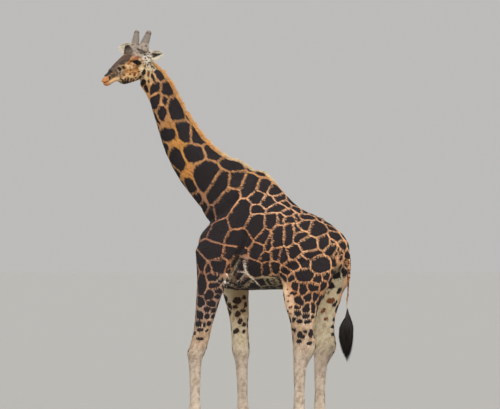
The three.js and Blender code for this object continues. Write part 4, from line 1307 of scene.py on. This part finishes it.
def add_lids(skin, tree):
    """Adds the eyelids to the skin: rings that roll out of the eye's opening and sink into the face."""
    around = 56
    turns = np.arange(around) / around * 2 * np.pi
    bm = bmesh.new()
    bm.from_mesh(skin.data)
    for sign in (1, -1):
        # The opening, forward and up in metres: longer in front, with a high upper lid.
        ahead = np.cos(turns) * np.where(np.cos(turns) > 0, 0.0255, 0.0240)
        rise = np.sin(turns) * np.where(np.sin(turns) > 0, 0.0155, 0.0145) + 0.003 * np.cos(turns)
        upper = np.clip(np.sin(turns), 0, 1)
        rings = []
        steps = (
            (0.90, -0.0015, 0), (1.0, 0.0015, 0), (1.05, 0.0045, 0), (1.2, 0.0055, 0), (1.4, 0.0045, 0.25),
            (1.65, 0.003, 0.6), (1.95, 0.001, 0.92), (2.3, -0.001, 1.0), (2.6, -0.006, 1.0),
        )
        for wide, proud, blend in steps:
            ring = []
            for index in range(around):
                a, b = ahead[index] * wide, rise[index] * wide
                lid = proud + 0.003 * upper[index] * (proud > 0.002) * (1 - blend)
                reach = EYE_RADIUS + lid
                flat = math.hypot(a, b)
                out = math.sqrt(max(reach**2 - flat**2, 1e-8)) if flat < reach else 0.0
                spot = head_point(EYE_FORWARD + a, sign * (EYE_OUT + out), EYE_UP + b)
                if blend > 0:
                    far = head_point(EYE_FORWARD + a, sign * (EYE_OUT + 0.15), EYE_UP + b)
                    ray = head_point(EYE_FORWARD + a, 0, EYE_UP + b) - far
                    hit, _, _, _ = tree.ray_cast(far, ray.normalized())
                    if hit is not None:
                        face = head_point(0, sign, 0) - head_point(0, 0, 0)
                        spot = spot.lerp(hit + face * (proud if blend > 0.9 else 0.001), blend)
                if flat < EYE_RADIUS:
                    least = EYE_OUT + math.sqrt((EYE_RADIUS + LID_CLEARANCE) ** 2 - flat**2)
                    lies_out = abs((HEAD.inverted() @ spot).y)
                    if wide > 0.95 and lies_out < least:
                        spot = head_point(EYE_FORWARD + a, sign * least, EYE_UP + b)
                ring.append(bm.verts.new(spot))
            rings.append(ring)
        for low, high in zip(rings[:-1], rings[1:]):
            for index in range(around):
                after = (index + 1) % around
                corners = (low[index], low[after], high[after], high[index])
                bm.faces.new(corners if sign < 0 else corners[::-1]).smooth = True
    bm.to_mesh(skin.data)
    bm.free()


# Each coat piece: its part, how many locks, their length and width, and their share of a full tooth.
COATS = (
    ("coat_trunk_left", TRUNK_LEFT, 17500, 0.034, 0.0054, 1.0),
    ("coat_trunk_right", TRUNK_RIGHT, 17500, 0.034, 0.0054, 1.0),
    ("coat_neck", NECK_PART, 17500, 0.036, 0.0052, 1.2),
    ("coat_head", HEAD_PART, 18500, 0.0140, 0.0022, 0.22),
    ("coat_front_legs", FRONT_LEGS, 14500, 0.023, 0.0042, 0.6),
    ("coat_hind_legs", HIND_LEGS, 16500, 0.025, 0.0046, 0.7),
    ("coat_tail", TAIL_PART, 2000, 0.018, 0.0030, 0.3),
)
TOOTH_WIDE = 0.018
TOOTH_LONG = 0.055
CELL_WIDE, CELL_LONG = 0.011, 0.03  # one cell of the freckles
CELL_STEP, ROW_STEP = 7919, 10473  # odd steps that spread neighbouring cells over the table
TABLE_SIZE = 997


def tooth_shift(metres, table):
    """From how far along the lie each place borrows its colour: one tooth in each cell of the unwrap,
    from -0.5 to 0.5."""
    across = metres[:, 0] / TOOTH_WIDE
    along = metres[:, 1] / TOOTH_LONG + 13.7 * metres[:, 2]
    column, row = np.floor(across).astype(int), np.floor(along).astype(int)
    pick = (column * CELL_STEP + row * ROW_STEP) % len(table)
    point = 1 - np.abs(2 * (across - column) - 1)
    return table[pick] * (0.35 + 0.65 * point)


def lay_coat(name, root, normal, flow, metres, spot, values, long, wide, depth, random):
    """A coat piece: short locks that lie along the flow, rooted just under the skin."""
    count = len(root)
    flow = unit(flow + random.normal(0, 0.10, (count, 3)))
    flow = flattened(flow, normal)
    side = np.cross(flow, normal)
    lift = depth * random.uniform(0.5, 0.95, count)
    middles = np.stack([
        root - normal * 0.0015,
        root + flow * (0.45 * long)[:, None] + normal * (0.75 * lift)[:, None],
        root + flow * long[:, None] + normal * lift[:, None],
    ])
    widths = np.stack([wide * 0.8, wide])
    thick = np.stack([wide * 0.16, wide * 0.14])
    edge, patch, ground = values
    kept = {
        "edge": ("FLOAT", edge), "patch": ("FLOAT_COLOR", patch),
        "ground": ("FLOAT_COLOR", ground), "lie": ("FLOAT_VECTOR", metres),
    }
    piece = build_locks(name, middles, side, normal, widths, thick, spot, kept)
    piece.data.materials.append(SKIN["material"])
    return piece


class GIRAFFE_OT_coat(bpy.types.Operator):
    """Covers the skin with short locks that follow the lie of the coat"""

    bl_idname = "giraffe.coat"
    bl_label = "Coat"

    def execute(self, context):
        depth = context.scene.giraffe_skin.coat_depth
        tooth = context.scene.giraffe_coat.tooth_length
        random = np.random.default_rng(COAT_SEED)
        table = random.uniform(-0.5, 0.5, TABLE_SIZE)
        brown = np.array(linear("#6b4023"))
        freckled = [chart_oval(*row) for row in FRECKLED]
        for name, number, count, length, width, share in COATS:
            root, normal = rooted(count, random, SKIN["part"] == number)
            keep = ~bare_skin(root)
            root, normal = root[keep], normal[keep]
            _, metres, spot, flow = parts_of(root, normal)
            shift = tooth_shift(metres, table) * tooth * share
            edge, patch, _ = paint(root + flow * shift[:, None], normal)
            _, _, ground = paint(root, normal)
            freckle = np.zeros(len(root))
            for place, _, axis, long, wide in freckled:
                near = smooth_step(1.1, 0.5, oval_size(root, place, axis, long, wide))
                across_cell = np.floor(metres[:, 0] / CELL_WIDE).astype(int)
                cell = across_cell * CELL_STEP + np.floor(metres[:, 1] / CELL_LONG).astype(int)
                freckle = np.maximum(freckle, near * (table[cell % len(table)] > 0.1))
            ground = ground + (brown - ground) * (0.75 * freckle)[:, None]
            size = 1 - 0.45 * muzzle_share(root) if number == HEAD_PART else 1.0
            long = length * random.uniform(0.75, 1.2, len(root)) * size
            wide = width * random.uniform(0.8, 1.2, len(root))
            rise = depth * (0.5 if number == HEAD_PART else 0.8)
            lay_coat(name, root, normal, flow, metres, spot, (edge, patch, ground), long, wide, rise, random)
        return {"FINISHED"}


def muzzle_share(where):
    """0 behind the cheeks and 1 on the muzzle."""
    local = (where - np.array(POLL)) @ np.asarray(HEAD.to_3x3())
    return smooth_step(0.45, 0.7, -local[:, 0])


def bare_skin(where):
    """Places with no hair: the eye's opening, the nostrils, under the horns and the feet."""
    face = face_places(where)
    eye = np.linalg.norm(face - [EYE_FORWARD, EYE_OUT + 0.018, EYE_UP], axis=1) < 0.024
    nostril = np.linalg.norm((face - NOSTRIL / 1000) / [1.0, 0.8, 0.5], axis=1) < 0.026
    return eye | nostril | inside_horns(where) | (where[:, 2] < 0.118)


def inside_horns(where):
    """Places on the skin that a horn covers."""
    covered = np.zeros(len(where), bool)
    for name in HORNS:
        base, tip = (np.array(head_point(*end)) for end in HORN_AXES[name])
        way = tip - base
        share = (where - base) @ way / (way @ way)
        covered |= (share > 0.28) & (np.linalg.norm(where - base - share[:, None] * way, axis=1) < 0.07)
    return covered


def strand_material():
    """Long hair in its own colour, satin, with fine streaks."""
    material, tree, output = new_material("long_hair")
    ground = add_node(tree, "ShaderNodeAttribute", {"attribute_name": "ground"})
    spot = add_node(tree, "ShaderNodeTexCoord")
    fine = add_node(
        tree, "ShaderNodeTexNoise", None, {"Scale": 240.0, "Detail": 3.0}, {"Vector": spot.outputs["Object"]}
    )
    grain = add_node(
        tree, "ShaderNodeMapRange", None, {"From Min": 0.3, "From Max": 0.7, "To Min": 0.78, "To Max": 1.18},
        {"Value": fine.outputs["Fac"]},
    )
    varied = add_node(
        tree, "ShaderNodeVectorMath", {"operation": "SCALE"}, None,
        {0: ground.outputs["Color"], "Scale": grain.outputs[0]},
    )
    bump = add_node(
        tree, "ShaderNodeBump", None, {"Strength": 0.4, "Distance": 0.001}, {"Height": fine.outputs["Fac"]}
    )
    shader = add_node(
        tree, "ShaderNodeBsdfPrincipled", None, {"Roughness": 0.55, "Specular IOR Level": 0.35},
        {"Base Color": varied.outputs[0], "Normal": bump.outputs["Normal"]},
    )
    tree.links.new(shader.outputs[0], output.inputs["Surface"])
    return material


def toned(code, count, random, low=0.7, high=1.2):
    """One colour for each lock, some lighter and some darker."""
    return np.array(linear(code)) * random.uniform(low, high, (count, 1))


def grow_hair(name, root, way, long, wide, colour, spot, droop=0.0, sections=4):
    """Long hair: tapering locks that leave their root along way and droop by a share of their length."""
    steps = np.linspace(0, 1, sections)
    down = np.array([0, 0, -droop])
    middles = np.stack([
        root + way * (long * step)[:, None] + down * (long * step**2)[:, None] for step in steps
    ])
    sides = unit(np.cross(way, [0.31, 0.22, 0.92]))
    widths = np.stack([wide * size for size in np.linspace(1.0, 0.5, sections - 1)])
    values = {"ground": ("FLOAT_COLOR", colour)}
    piece = build_locks(
        name, middles, sides, np.cross(sides, way), widths, widths * 0.5,
        np.clip(spot, UV_LOW, UV_HIGH), values
    )
    piece.data.materials.append(SKIN["strand"])
    return piece


# The crest's middle, from behind the withers up to the poll.
CREST_LINE = np.vstack([
    [(0.24, 0.276, 2.58), (0.12, 0.276, 2.66), (0.0, 0.276, 2.76), (-0.09, 0.275, 2.87)], NECK_LINE
])


def crest_line():
    """The neck's crest: places on the skin with the directions up, sideways and along to the head."""
    steps = np.linspace(0, len(CREST_LINE) - 1, 120)
    stations = range(len(CREST_LINE))
    middle = np.column_stack([np.interp(steps, stations, CREST_LINE[:, axis]) for axis in range(3)])
    kernel = np.ones(13) / 13
    padded = np.pad(middle, ((6, 6), (0, 0)), mode="reflect", reflect_type="odd")
    middle = np.column_stack([np.convolve(padded[:, axis], kernel, "valid") for axis in range(3)])
    along = unit(np.gradient(middle, axis=0))
    side = unit(np.cross(along, [0, 0, 1.0]))
    up = np.cross(side, along)
    crest = []
    for place, rise in zip(middle, up):
        hit, _, _, _ = SKIN["tree"].ray_cast(Vector(place + rise * 0.9), Vector(-rise))
        crest.append(np.array(hit) if hit is not None else place + rise * 0.15)
    return np.array(crest), up, side, along


MANE_LOCKS = 10000
MANE_SHARES = (0, 0.1, 0.27, 0.4, 0.55, 0.94, 1)  # along the crest from the withers to the poll
MANE_HEIGHTS = (0.1, 0.2, 0.5, 0.75, 1, 1, 0.6)  # shares of the mane's full height there


class GIRAFFE_OT_mane(bpy.types.Operator):
    """Builds the upright mane, lock by lock"""

    bl_idname = "giraffe.mane"
    bl_label = "Mane"

    def execute(self, context):
        sizes = context.scene.giraffe_mane
        random = np.random.default_rng(MANE_SEED)
        crest, up, side, along = crest_line()
        count = MANE_LOCKS
        share = np.sort(random.uniform(0.0, 1.0, count))
        steps = share * (len(crest) - 1)
        at, rise, out, forward = (
            np.column_stack([np.interp(steps, range(len(crest)), value[:, axis]) for axis in range(3)])
            for value in (crest, up, side, along)
        )
        across = random.uniform(-1, 1, count)
        root = at + out * (across * sizes.half_width)[:, None] - rise * (0.003 + 0.013 * across**2)[:, None]
        tall = sizes.height * np.interp(share, MANE_SHARES, MANE_HEIGHTS)
        waves = 0.04 * np.sin(share * 83 + 1) + 0.05 * np.sin(share * 181) + 0.05 * np.sin(share * 397 + 2)
        tall = tall * (0.9 + waves) * random.uniform(0.72, 1.05, count) * (1 - 0.35 * across**2)
        lean = 0.3 + 0.3 * np.sin(share * 117) + random.normal(0, 0.12, count)
        sway = 0.24 * across + 0.2 * np.sin(share * 73) + random.normal(0, 0.08, count)
        way = unit(rise - forward * lean[:, None] + out * sway[:, None])
        wide = random.uniform(0.0042, 0.007, count)
        spot = np.column_stack([0.1 + 0.8 * (across * 0.5 + 0.5), 0.02 + 0.96 * share])
        pale = smooth_step(0.52, 0.34, share)[:, None]
        warm = toned("#efb672", count, random, 0.75, 1.25) * (1 - pale)
        colour = warm + toned("#efd5ab", count, random) * pale
        root_dark = np.where(random.uniform(0, 1, count) < 0.12, 0.62, 1.0)[:, None]
        piece = grow_hair("mane_hair", root, way, tall, wide, colour * root_dark, spot)
        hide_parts("mane")
        return {"FINISHED"}


class GIRAFFE_OT_tail_tuft(bpy.types.Operator):
    """Builds the long black hair at the tail's end"""

    bl_idname = "giraffe.tail_tuft"
    bl_label = "Tail tuft"

    def execute(self, context):
        random = np.random.default_rng(TUFT_SEED)
        count = 2300
        levels = np.array((0.85, 0.93, 1.06, 1.20, 1.33, 1.42, 1.49, 1.56))
        spread = np.array((0.010, 0.024, 0.054, 0.080, 0.082, 0.046, 0.018, 0.013))
        centre_x = np.array((1.360, 1.356, 1.348, 1.340, 1.344, 1.358, 1.362, 1.356))
        inner = np.sqrt(random.uniform(0.02, 1, count))
        turn = random.uniform(0, 2 * np.pi, count)
        start = 1.555 - 0.14 * inner * random.uniform(0.2, 1, count)
        end = 0.855 + 0.42 * random.beta(1.5, 2.2, count) + 0.10 * inner
        sections = 7
        middles = []
        drift = random.normal(0, 0.006, (2, count))
        for share in np.linspace(0, 1, sections):
            z = start + (end - start) * share
            radius = np.interp(z, levels, spread) * (inner * (0.45 + 0.55 * min(1, share * 3)) + 0.02)
            wave = 0.006 * np.sin(9 * share + turn * 3) * share
            x = np.interp(z, levels, centre_x) + np.cos(turn) * radius + drift[0] * share + wave
            y = MIDDLE_Y + np.sin(turn) * radius * 0.85 + drift[1] * share
            middles.append(np.column_stack([x, y, z]))
        outward = np.column_stack([np.cos(turn), np.sin(turn), 0 * turn])
        sides = np.column_stack([-np.sin(turn), np.cos(turn), 0 * turn])
        wide = random.uniform(0.004, 0.0075, count)
        widths = np.stack([wide * size for size in np.linspace(1.0, 0.45, sections - 1)])
        spot = np.column_stack([turn / (2 * np.pi), np.clip((start - 1.4) / 0.2, 0, 1) * 0.9 + 0.05])
        values = {"ground": ("FLOAT_COLOR", toned("#1f1914", count, random, 0.6, 1.5))}
        piece = build_locks(
            "tail_hair", np.stack(middles), sides, outward, widths, widths * 0.5,
            np.clip(spot, UV_LOW, UV_HIGH), values,
        )
        piece.data.materials.append(SKIN["strand"])
        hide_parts("tail_tuft")
        return {"FINISHED"}


EAR_TRIES, BEARD_TRIES = 60000, 30000  # places tried on the head, few of which are kept


class GIRAFFE_OT_head_hair(bpy.types.Operator):
    """Builds the fringes of the ears, the lashes and the dark hair under the jaw"""

    bl_idname = "giraffe.head_hair"
    bl_label = "Head hair"

    def execute(self, context):
        random = np.random.default_rng(FACE_SEED)
        self.fringe_ears(random)
        self.grow_lashes(random)
        self.grow_beard(random)
        return {"FINISHED"}

    def fringe_ears(self, random):
        """White hair along the ears' rims and inside them."""
        root, normal = rooted(EAR_TRIES, random, SKIN["part"] == HEAD_PART)
        roots, ways, lengths = [], [], []
        for long, across, face, _, share, aside, belongs in ear_readings(root):
            rim = (belongs > 0.6) & (np.abs(aside) > 0.62 * (1.05 - share) + 0.1) & (normal @ face > -0.5)
            hollow = (belongs > 0.6) & (normal @ face > 0.4) & (random.uniform(0, 1, len(root)) < 0.25)
            chosen = rim | hollow
            count = chosen.sum()
            outward = across * np.sign(aside[chosen])[:, None] * np.where(rim[chosen], 0.55, -0.1)[:, None]
            roots.append(root[chosen])
            ways.append(unit(long + outward + 0.25 * face + random.normal(0, 0.18, (count, 3))))
            lengths.append(np.where(rim[chosen], 0.021, 0.026) * random.uniform(0.6, 1.2, count))
        root, way, long = (np.concatenate(value) for value in (roots, ways, lengths))
        colour = toned("#f4ead6", len(root), random, 0.75, 1.1)
        _, _, ground = paint(root, way)
        # Hairs rooted in the painted shade of the ear's hollow are darkened with it.
        dark = smooth_step(0.25, 0.12, ground.mean(1))[:, None]
        colour = colour * (1 - 0.8 * dark) + np.array(linear("#3a281d")) * (0.8 * dark)
        _, _, spot, _ = parts_of(root, way)
        grow_hair("ear_hair", root, way, long, np.full(len(root), 0.0022), colour, spot)

    def grow_lashes(self, random):
        """Long black lashes on the upper lids and short ones on the lower."""
        roots, ways, lengths = [], [], []
        for sign in (1, -1):
            for rise, count, length in ((1, 90, 0.034), (-1, 40, 0.014)):
                turn = random.uniform(0.12, 0.92, count) * math.pi
                ahead, up = 0.026 * np.cos(turn), rise * 0.0165 * np.sin(turn) + 0.003 * np.cos(turn)
                out = np.sqrt(np.maximum((EYE_RADIUS + 0.003) ** 2 - ahead**2 - up**2, 1e-6))
                roots += [
                    head_point(EYE_FORWARD + a, sign * (EYE_OUT + o), EYE_UP + u)
                    for a, u, o in zip(ahead, up, out)
                ]
                lift = 0.18 if rise > 0 else -0.5
                ways += [
                    HEAD.to_3x3() @ Vector((-0.5 * math.cos(t) - 0.1, -sign * 0.85, lift)) for t in turn
                ]
                lengths.append(length * random.uniform(0.7, 1.15, count))
        way = unit(np.array(ways) + random.normal(0, 0.06, (len(ways), 3)))
        root, long = np.array(roots), np.concatenate(lengths)
        _, _, spot, _ = parts_of(root, way)
        wide = np.full(len(root), 0.0016)
        colour = toned("#0f0b09", len(root), random)
        grow_hair("eye_lashes", root, way, long, wide, colour, spot, 0.45)

    def grow_beard(self, random):
        """Shaggy dark hair under the jaw."""
        root, normal = rooted(BEARD_TRIES, random, SKIN["part"] == HEAD_PART)
        local = (root - np.array(POLL)) @ np.asarray(HEAD.to_3x3())
        forward, up = -local[:, 0], local[:, 2]
        below = normal @ np.array(HEAD.to_3x3() @ Vector((0, 0, 1)))
        chosen = (forward > 0.38) & (forward < 0.58) & (up < -0.115) & (below < -0.55)
        root, normal, forward = root[chosen], normal[chosen], forward[chosen]
        count = len(root)
        back = np.array(HEAD.to_3x3() @ Vector((0.9, 0, 0)))
        way = unit(normal * 0.5 + back + random.normal(0, 0.25, (count, 3)))
        middle = smooth_step(0.36, 0.42, forward) * smooth_step(0.60, 0.53, forward)
        long = (0.006 + 0.008 * middle) * random.uniform(0.5, 1.2, count)
        _, _, spot, _ = parts_of(root, normal)
        _, _, ground = paint(root, normal)
        pale = (random.uniform(0, 1, count) < 0.3)[:, None]
        colour = np.where(pale, ground * 1.2, toned("#241a12", count, random, 0.6, 1.6))
        grow_hair("beard_hair", root, way, long, np.full(count, 0.0024), colour, spot)


def eye_material():
    """A wet, dark brown eye: a long level pupil in a deep brown iris."""
    material, tree, output = new_material("wet_eye")
    gaze = add_node(tree, "ShaderNodeAttribute", {"attribute_name": "gaze"})
    ramp = add_node(tree, "ShaderNodeValToRGB", None, None, {"Fac": gaze.outputs["Fac"]})
    stops = ramp.color_ramp.elements
    stops[0].position, stops[0].color = 0.0, (*linear("#050405"), 1)
    stops[1].position, stops[1].color = 1.0, (*linear("#1c1410"), 1)
    iris = stops.new(0.36)
    iris.color = (*linear("#0a0706"), 1)
    iris = stops.new(0.5)
    iris.color = (*linear("#2c1a10"), 1)
    rim = stops.new(0.8)
    rim.color = (*linear("#150e0b"), 1)
    shader = add_node(
        tree, "ShaderNodeBsdfPrincipled", None,
        {"Roughness": 0.14, "Specular IOR Level": 0.4, "Coat Weight": 0.35, "Coat Roughness": 0.04},
        {"Base Color": ramp.outputs["Color"]},
    )
    tree.links.new(shader.outputs[0], output.inputs["Surface"])
    return material


class GIRAFFE_OT_eyes(bpy.types.Operator):
    """Builds the eyeballs"""

    bl_idname = "giraffe.eyes"
    bl_label = "Eyes"

    def execute(self, context):
        material = eye_material()
        for name, sign in (("left_eye", 1), ("right_eye", -1)):
            middle = head_point(EYE_FORWARD, sign * EYE_OUT, EYE_UP)
            bpy.ops.object.select_all(action="DESELECT")
            bpy.ops.mesh.primitive_uv_sphere_add(
                segments=EYE_SEGMENTS, ring_count=EYE_RINGS, radius=EYE_RADIUS, location=middle
            )
            ball = context.active_object
            ball.name = name + "_ball"
            bpy.ops.object.transform_apply(location=True, rotation=True, scale=True)
            bpy.ops.object.shade_smooth()
            out = np.array(head_point(0.2, sign, 0.02) - head_point(0, 0, 0))
            out = out / np.linalg.norm(out)
            up = np.array(head_point(0, 0, 1) - head_point(0, 0, 0))
            along = np.cross(out, up)
            where = places(ball.data)
            gap = (where - np.array(middle)) / EYE_RADIUS
            level = np.sqrt((gap @ along / 0.85) ** 2 + (gap @ up / 0.5) ** 2)
            add_values(ball, "gaze", np.where(gap @ out > 0, np.clip(level, 0, 1), 1.0))
            cornea = smooth_step(0.55, 0.95, gap @ out) * 0.0012
            set_places(ball.data, where + gap * cornea[:, None])
            ball.data.materials.append(material)
            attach(ball, "root")
            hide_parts(name)
        return {"FINISHED"}


def smooth_copy(name, nodes, voxel, rounds):
    """A CAD node's shape with its facets rounded off, as a new piece."""
    piece = remeshed(nodes, voxel, 0.0003)
    piece.name = name
    piece.data.name = name
    set_places(piece.data, relax(places(piece.data), edges_of(piece.data), rounds))
    piece.data.polygons.foreach_set("use_smooth", np.ones(len(piece.data.polygons), bool))
    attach(piece, "root")
    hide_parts(*nodes)
    return piece


def tuft_tone(high):
    """The forehead bump's colours: grey-brown at its foot and blackish at its ragged top."""
    low, top = np.array(linear("#75655a")), np.array(linear("#3b302b"))
    return low + (top - low) * smooth_step(0.25, 0.75, high)[:, None]


HORN_ASIDE = (0.3, 0.9, 0.1)  # roughly to one side of every horn
SORE_WAVES = ((91.0, 57.0, 133.0), (41.0, -83.0, 67.0))  # two crossing waves that break up the sores


class GIRAFFE_OT_horns(bpy.types.Operator):
    """Builds the two horns and the bump on the forehead"""

    bl_idname = "giraffe.horns"
    bl_label = "Horns"

    def execute(self, context):
        random = np.random.default_rng(HORN_SEED)
        tones = ("#998c81", "#95877b", "#776c67", "#4f453f", "#a2534c")
        base_tone, low_tone, knob_tone, ring_tone, sore_tone = (np.array(linear(code)) for code in tones)
        for name, fuzz in (("left_ossicone", 3400), ("right_ossicone", 3000), ("median_ossicone", 0)):
            piece = smooth_copy(name + "_horn", (name,), 0.0045, 14)
            where = places(piece.data)
            axis = HORN_AXES[name]
            base = np.array(head_point(*axis[0]))
            way = np.array(head_point(*axis[1])) - base
            share = (where - base) @ way / (way @ way)
            foot = smooth_step(0.45, 0.02, share) if fuzz else smooth_step(0.22, -0.05, share)
            spread = where - base - share[:, None] * way
            widening = 0.36 if fuzz else 0.1
            where = where - unit(way) * (foot * 0.03)[:, None] - spread * (widening * foot)[:, None]
            if name == "median_ossicone":
                rising = np.clip(share, 0, 1)[:, None]
                where = where - way * (0.24 * rising) - spread * (0.14 * rising)
            set_places(piece.data, where)
            normals = normals_of(piece.data)

            def horn_values(spots, ways):
                """The horn's colours: furred below, a dark ring, and a bald knob with a few sores."""
                edge, patch, _ = paint(spots, ways)
                high = ((spots - base) @ way / (way @ way))[:, None]
                waves, cross_waves = (np.sin(spots @ wave) for wave in SORE_WAVES)
                patchy = waves[:, None] * cross_waves[:, None]
                colour = low_tone + (base_tone - low_tone) * smooth_step(-0.1, 0.35, high + 0.1 * patchy)
                colour = colour + (ring_tone - colour) * 0.8 * np.exp(-(((high - 0.88) / 0.055) ** 2))
                colour = colour + (knob_tone - colour) * smooth_step(0.93, 0.98, high)
                on_knob = smooth_step(0.8, 0.87, high) * smooth_step(1.02, 0.96, high)
                sore = smooth_step(0.5, 0.75, patchy) * on_knob
                edge = np.where(high[:, 0] > 0.3, -0.05, edge)
                return edge, patch, colour + (sore_tone - colour) * sore * 0.8

            turned = np.column_stack([
                where @ unit(np.cross(way, HORN_ASIDE)), where @ unit(way), 5 + 0 * share
            ])
            if name == "median_ossicone":
                brown = tuft_tone(share)
                add_coat_values(piece, np.full(len(where), -0.05), brown, brown, turned)
            else:
                add_coat_values(piece, *horn_values(where, normals), turned)
            piece.data.materials.append(SKIN["material"])
            count = fuzz or 2600
            triangles, shares = scattered(piece.data, count, random)
            root = mixed(where, triangles, shares)
            normal = unit(mixed(normals, triangles, shares))
            high = (root - base) @ way / (way @ way)
            around = np.column_stack([0.5 + 0.4 * np.sin(high * 9), np.clip(0.05 + 0.85 * high, 0.01, 0.99)])
            if fuzz:
                keep = high < 0.87
                root, normal, high, around = root[keep], normal[keep], high[keep], around[keep]
                flow = unit(way + np.zeros_like(normal))
                flow = flattened(flow, normal)
                metres = np.column_stack([
                    root @ unit(np.cross(way, HORN_ASIDE)), root @ unit(way), 5 + 0 * high
                ])
                size = random.uniform(0.7, 1.2, (2, len(root)))
                lay_coat(
                    name + "_fuzz", root, normal, flow, metres, around, horn_values(root, normal),
                    0.016 * size[0], 0.0026 * size[1], 0.004, random,
                )
            else:
                long = (0.008 + 0.015 * smooth_step(0.6, 0.9, high)) * random.uniform(0.4, 1.4, count)
                ways = unit(0.5 * normal + unit(way) * 1.3 + random.normal(0, 0.3, (count, 3)))
                colour = tuft_tone(high) * random.uniform(0.55, 1.6, (count, 1))
                grow_hair(
                    name + "_hair", root, ways, long, np.full(count, 0.0030), colour, around
                )
        return {"FINISHED"}


HORN_AXES = {
    "left_ossicone": ((0.140, 0.075, 0.100), (-0.020, 0.121, 0.282)),
    "right_ossicone": ((0.140, -0.075, 0.100), (-0.020, -0.121, 0.282)),
    "median_ossicone": ((0.284, 0.0, 0.130), (0.268, 0.0, 0.236)),
}


class GIRAFFE_OT_hooves(bpy.types.Operator):
    """Builds the eight half hooves"""

    bl_idname = "giraffe.hooves"
    bl_label = "Hooves"

    def execute(self, context):
        horn = plain_noise_material("hoof_horn", ("#3a302a", "#6b5c4f"), 24, 0.5, 0.0015, (1, 1, 7))
        for leg in ("front_left", "front_right", "hind_left", "hind_right"):
            for half in ("outer", "inner"):
                node = f"{leg}_hoof_{half}"
                piece = smooth_copy(node + "_horn", (node,), 0.006, 8)
                where = places(piece.data)
                low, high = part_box(node)
                where[:, 2] = np.maximum(where[:, 2], low.z)
                top = smooth_step(high.z - 0.03, high.z, where[:, 2])
                where[:, 2] += top * 0.012
                set_places(piece.data, where)
                piece.data.materials.append(horn)
        return {"FINISHED"}


def tree_of(piece):
    """A search tree of a piece's faces."""
    depsgraph = bpy.context.evaluated_depsgraph_get()
    return BVHTree.FromObject(piece, depsgraph)


class GIRAFFE_OT_stage(bpy.types.Operator):
    """Adds the floor, the lights and the camera"""

    bl_idname = "giraffe.stage"
    bl_label = "Stage"

    def execute(self, context):
        sizes = context.scene.giraffe_stage
        bpy.ops.object.select_all(action="DESELECT")
        bpy.ops.mesh.primitive_circle_add(vertices=96, radius=400, fill_type="NGON")
        floor = context.active_object
        floor.name = "floor"
        floor.data.materials.append(
            plain_noise_material("studio_floor", ("#a5a39f", "#a9a7a3"), 3.0, 0.9, 0.0005)
        )
        for name, place, spread, power in (
            ("key_light", (9.0, -9.0, 10.0), 40, sizes.light_power),
            ("fill_light", (-9.0, -8.0, 4.5), 70, sizes.light_power * 0.35),
        ):
            light = bpy.data.lights.new(name, "SUN")
            light.angle = math.radians(spread)
            light.energy = power
            lamp = bpy.data.objects.new(name, light)
            lamp.location = place
            lamp.rotation_euler = (-Vector(place)).to_track_quat("-Z", "Y").to_euler()
            context.scene.collection.objects.link(lamp)
        world = bpy.data.worlds.new("studio")
        context.scene.world = world
        world.use_nodes = True
        background = world.node_tree.nodes["Background"]
        background.inputs["Color"].default_value = (*linear("#e9e8e6"), 1)
        background.inputs["Strength"].default_value = sizes.sky_power
        camera = bpy.data.objects.new("camera", bpy.data.cameras.new("camera"))
        camera.data.sensor_width = 36
        camera.data.lens = 270
        camera.data.clip_end = 1000
        camera.location = CAMERA_AT
        rise = math.atan((AIM_HIGH - CAMERA_HIGH) / CAMERA_AWAY)
        camera.rotation_euler = (math.pi / 2 + rise, 0, SIDE_TURN)
        context.scene.collection.objects.link(camera)
        context.scene.camera = camera
        context.scene.view_settings.view_transform = "Standard"
        return {"FINISHED"}


class GIRAFFE_PT_panel(bpy.types.Panel):
    """Lists the steps that build the giraffe"""

    bl_label = "Giraffe"
    bl_idname = "GIRAFFE_PT_panel"
    bl_space_type = "VIEW_3D"
    bl_region_type = "UI"
    bl_category = "Giraffe"

    def draw(self, context):
        for settings, _ in GROUPS:
            group = getattr(context.scene, settings)
            for key in group.__annotations__:
                self.layout.prop(group, key)
        for operator in OPERATORS:
            self.layout.operator(operator.bl_idname)


OPERATORS = (
    GIRAFFE_OT_stage,
    GIRAFFE_OT_skin,
    GIRAFFE_OT_coat,
    GIRAFFE_OT_mane,
    GIRAFFE_OT_tail_tuft,
    GIRAFFE_OT_eyes,
    GIRAFFE_OT_head_hair,
    GIRAFFE_OT_horns,
    GIRAFFE_OT_hooves,
)
GROUPS = (
    ("giraffe_skin", GiraffeSkinSettings),
    ("giraffe_coat", GiraffeCoatSettings),
    ("giraffe_mane", GiraffeManeSettings),
    ("giraffe_stage", GiraffeStageSettings),
)


def register():
    """Registers the settings, the operators and the panel."""
    for name, group in GROUPS:
        bpy.utils.register_class(group)
        setattr(bpy.types.Scene, name, PointerProperty(type=group))
    for item in (*OPERATORS, GIRAFFE_PT_panel):
        bpy.utils.register_class(item)


def unregister():
    """Takes them away again."""
    for item in (GIRAFFE_PT_panel, *OPERATORS):
        bpy.utils.unregister_class(item)
    for name, group in GROUPS:
        delattr(bpy.types.Scene, name)
        bpy.utils.unregister_class(group)


def main():
    """Builds everything in order."""
    register()
    for operator in OPERATORS:
        group, name = operator.bl_idname.split(".")
        getattr(getattr(bpy.ops, group), name)()


if __name__ == "__main__":
    main()
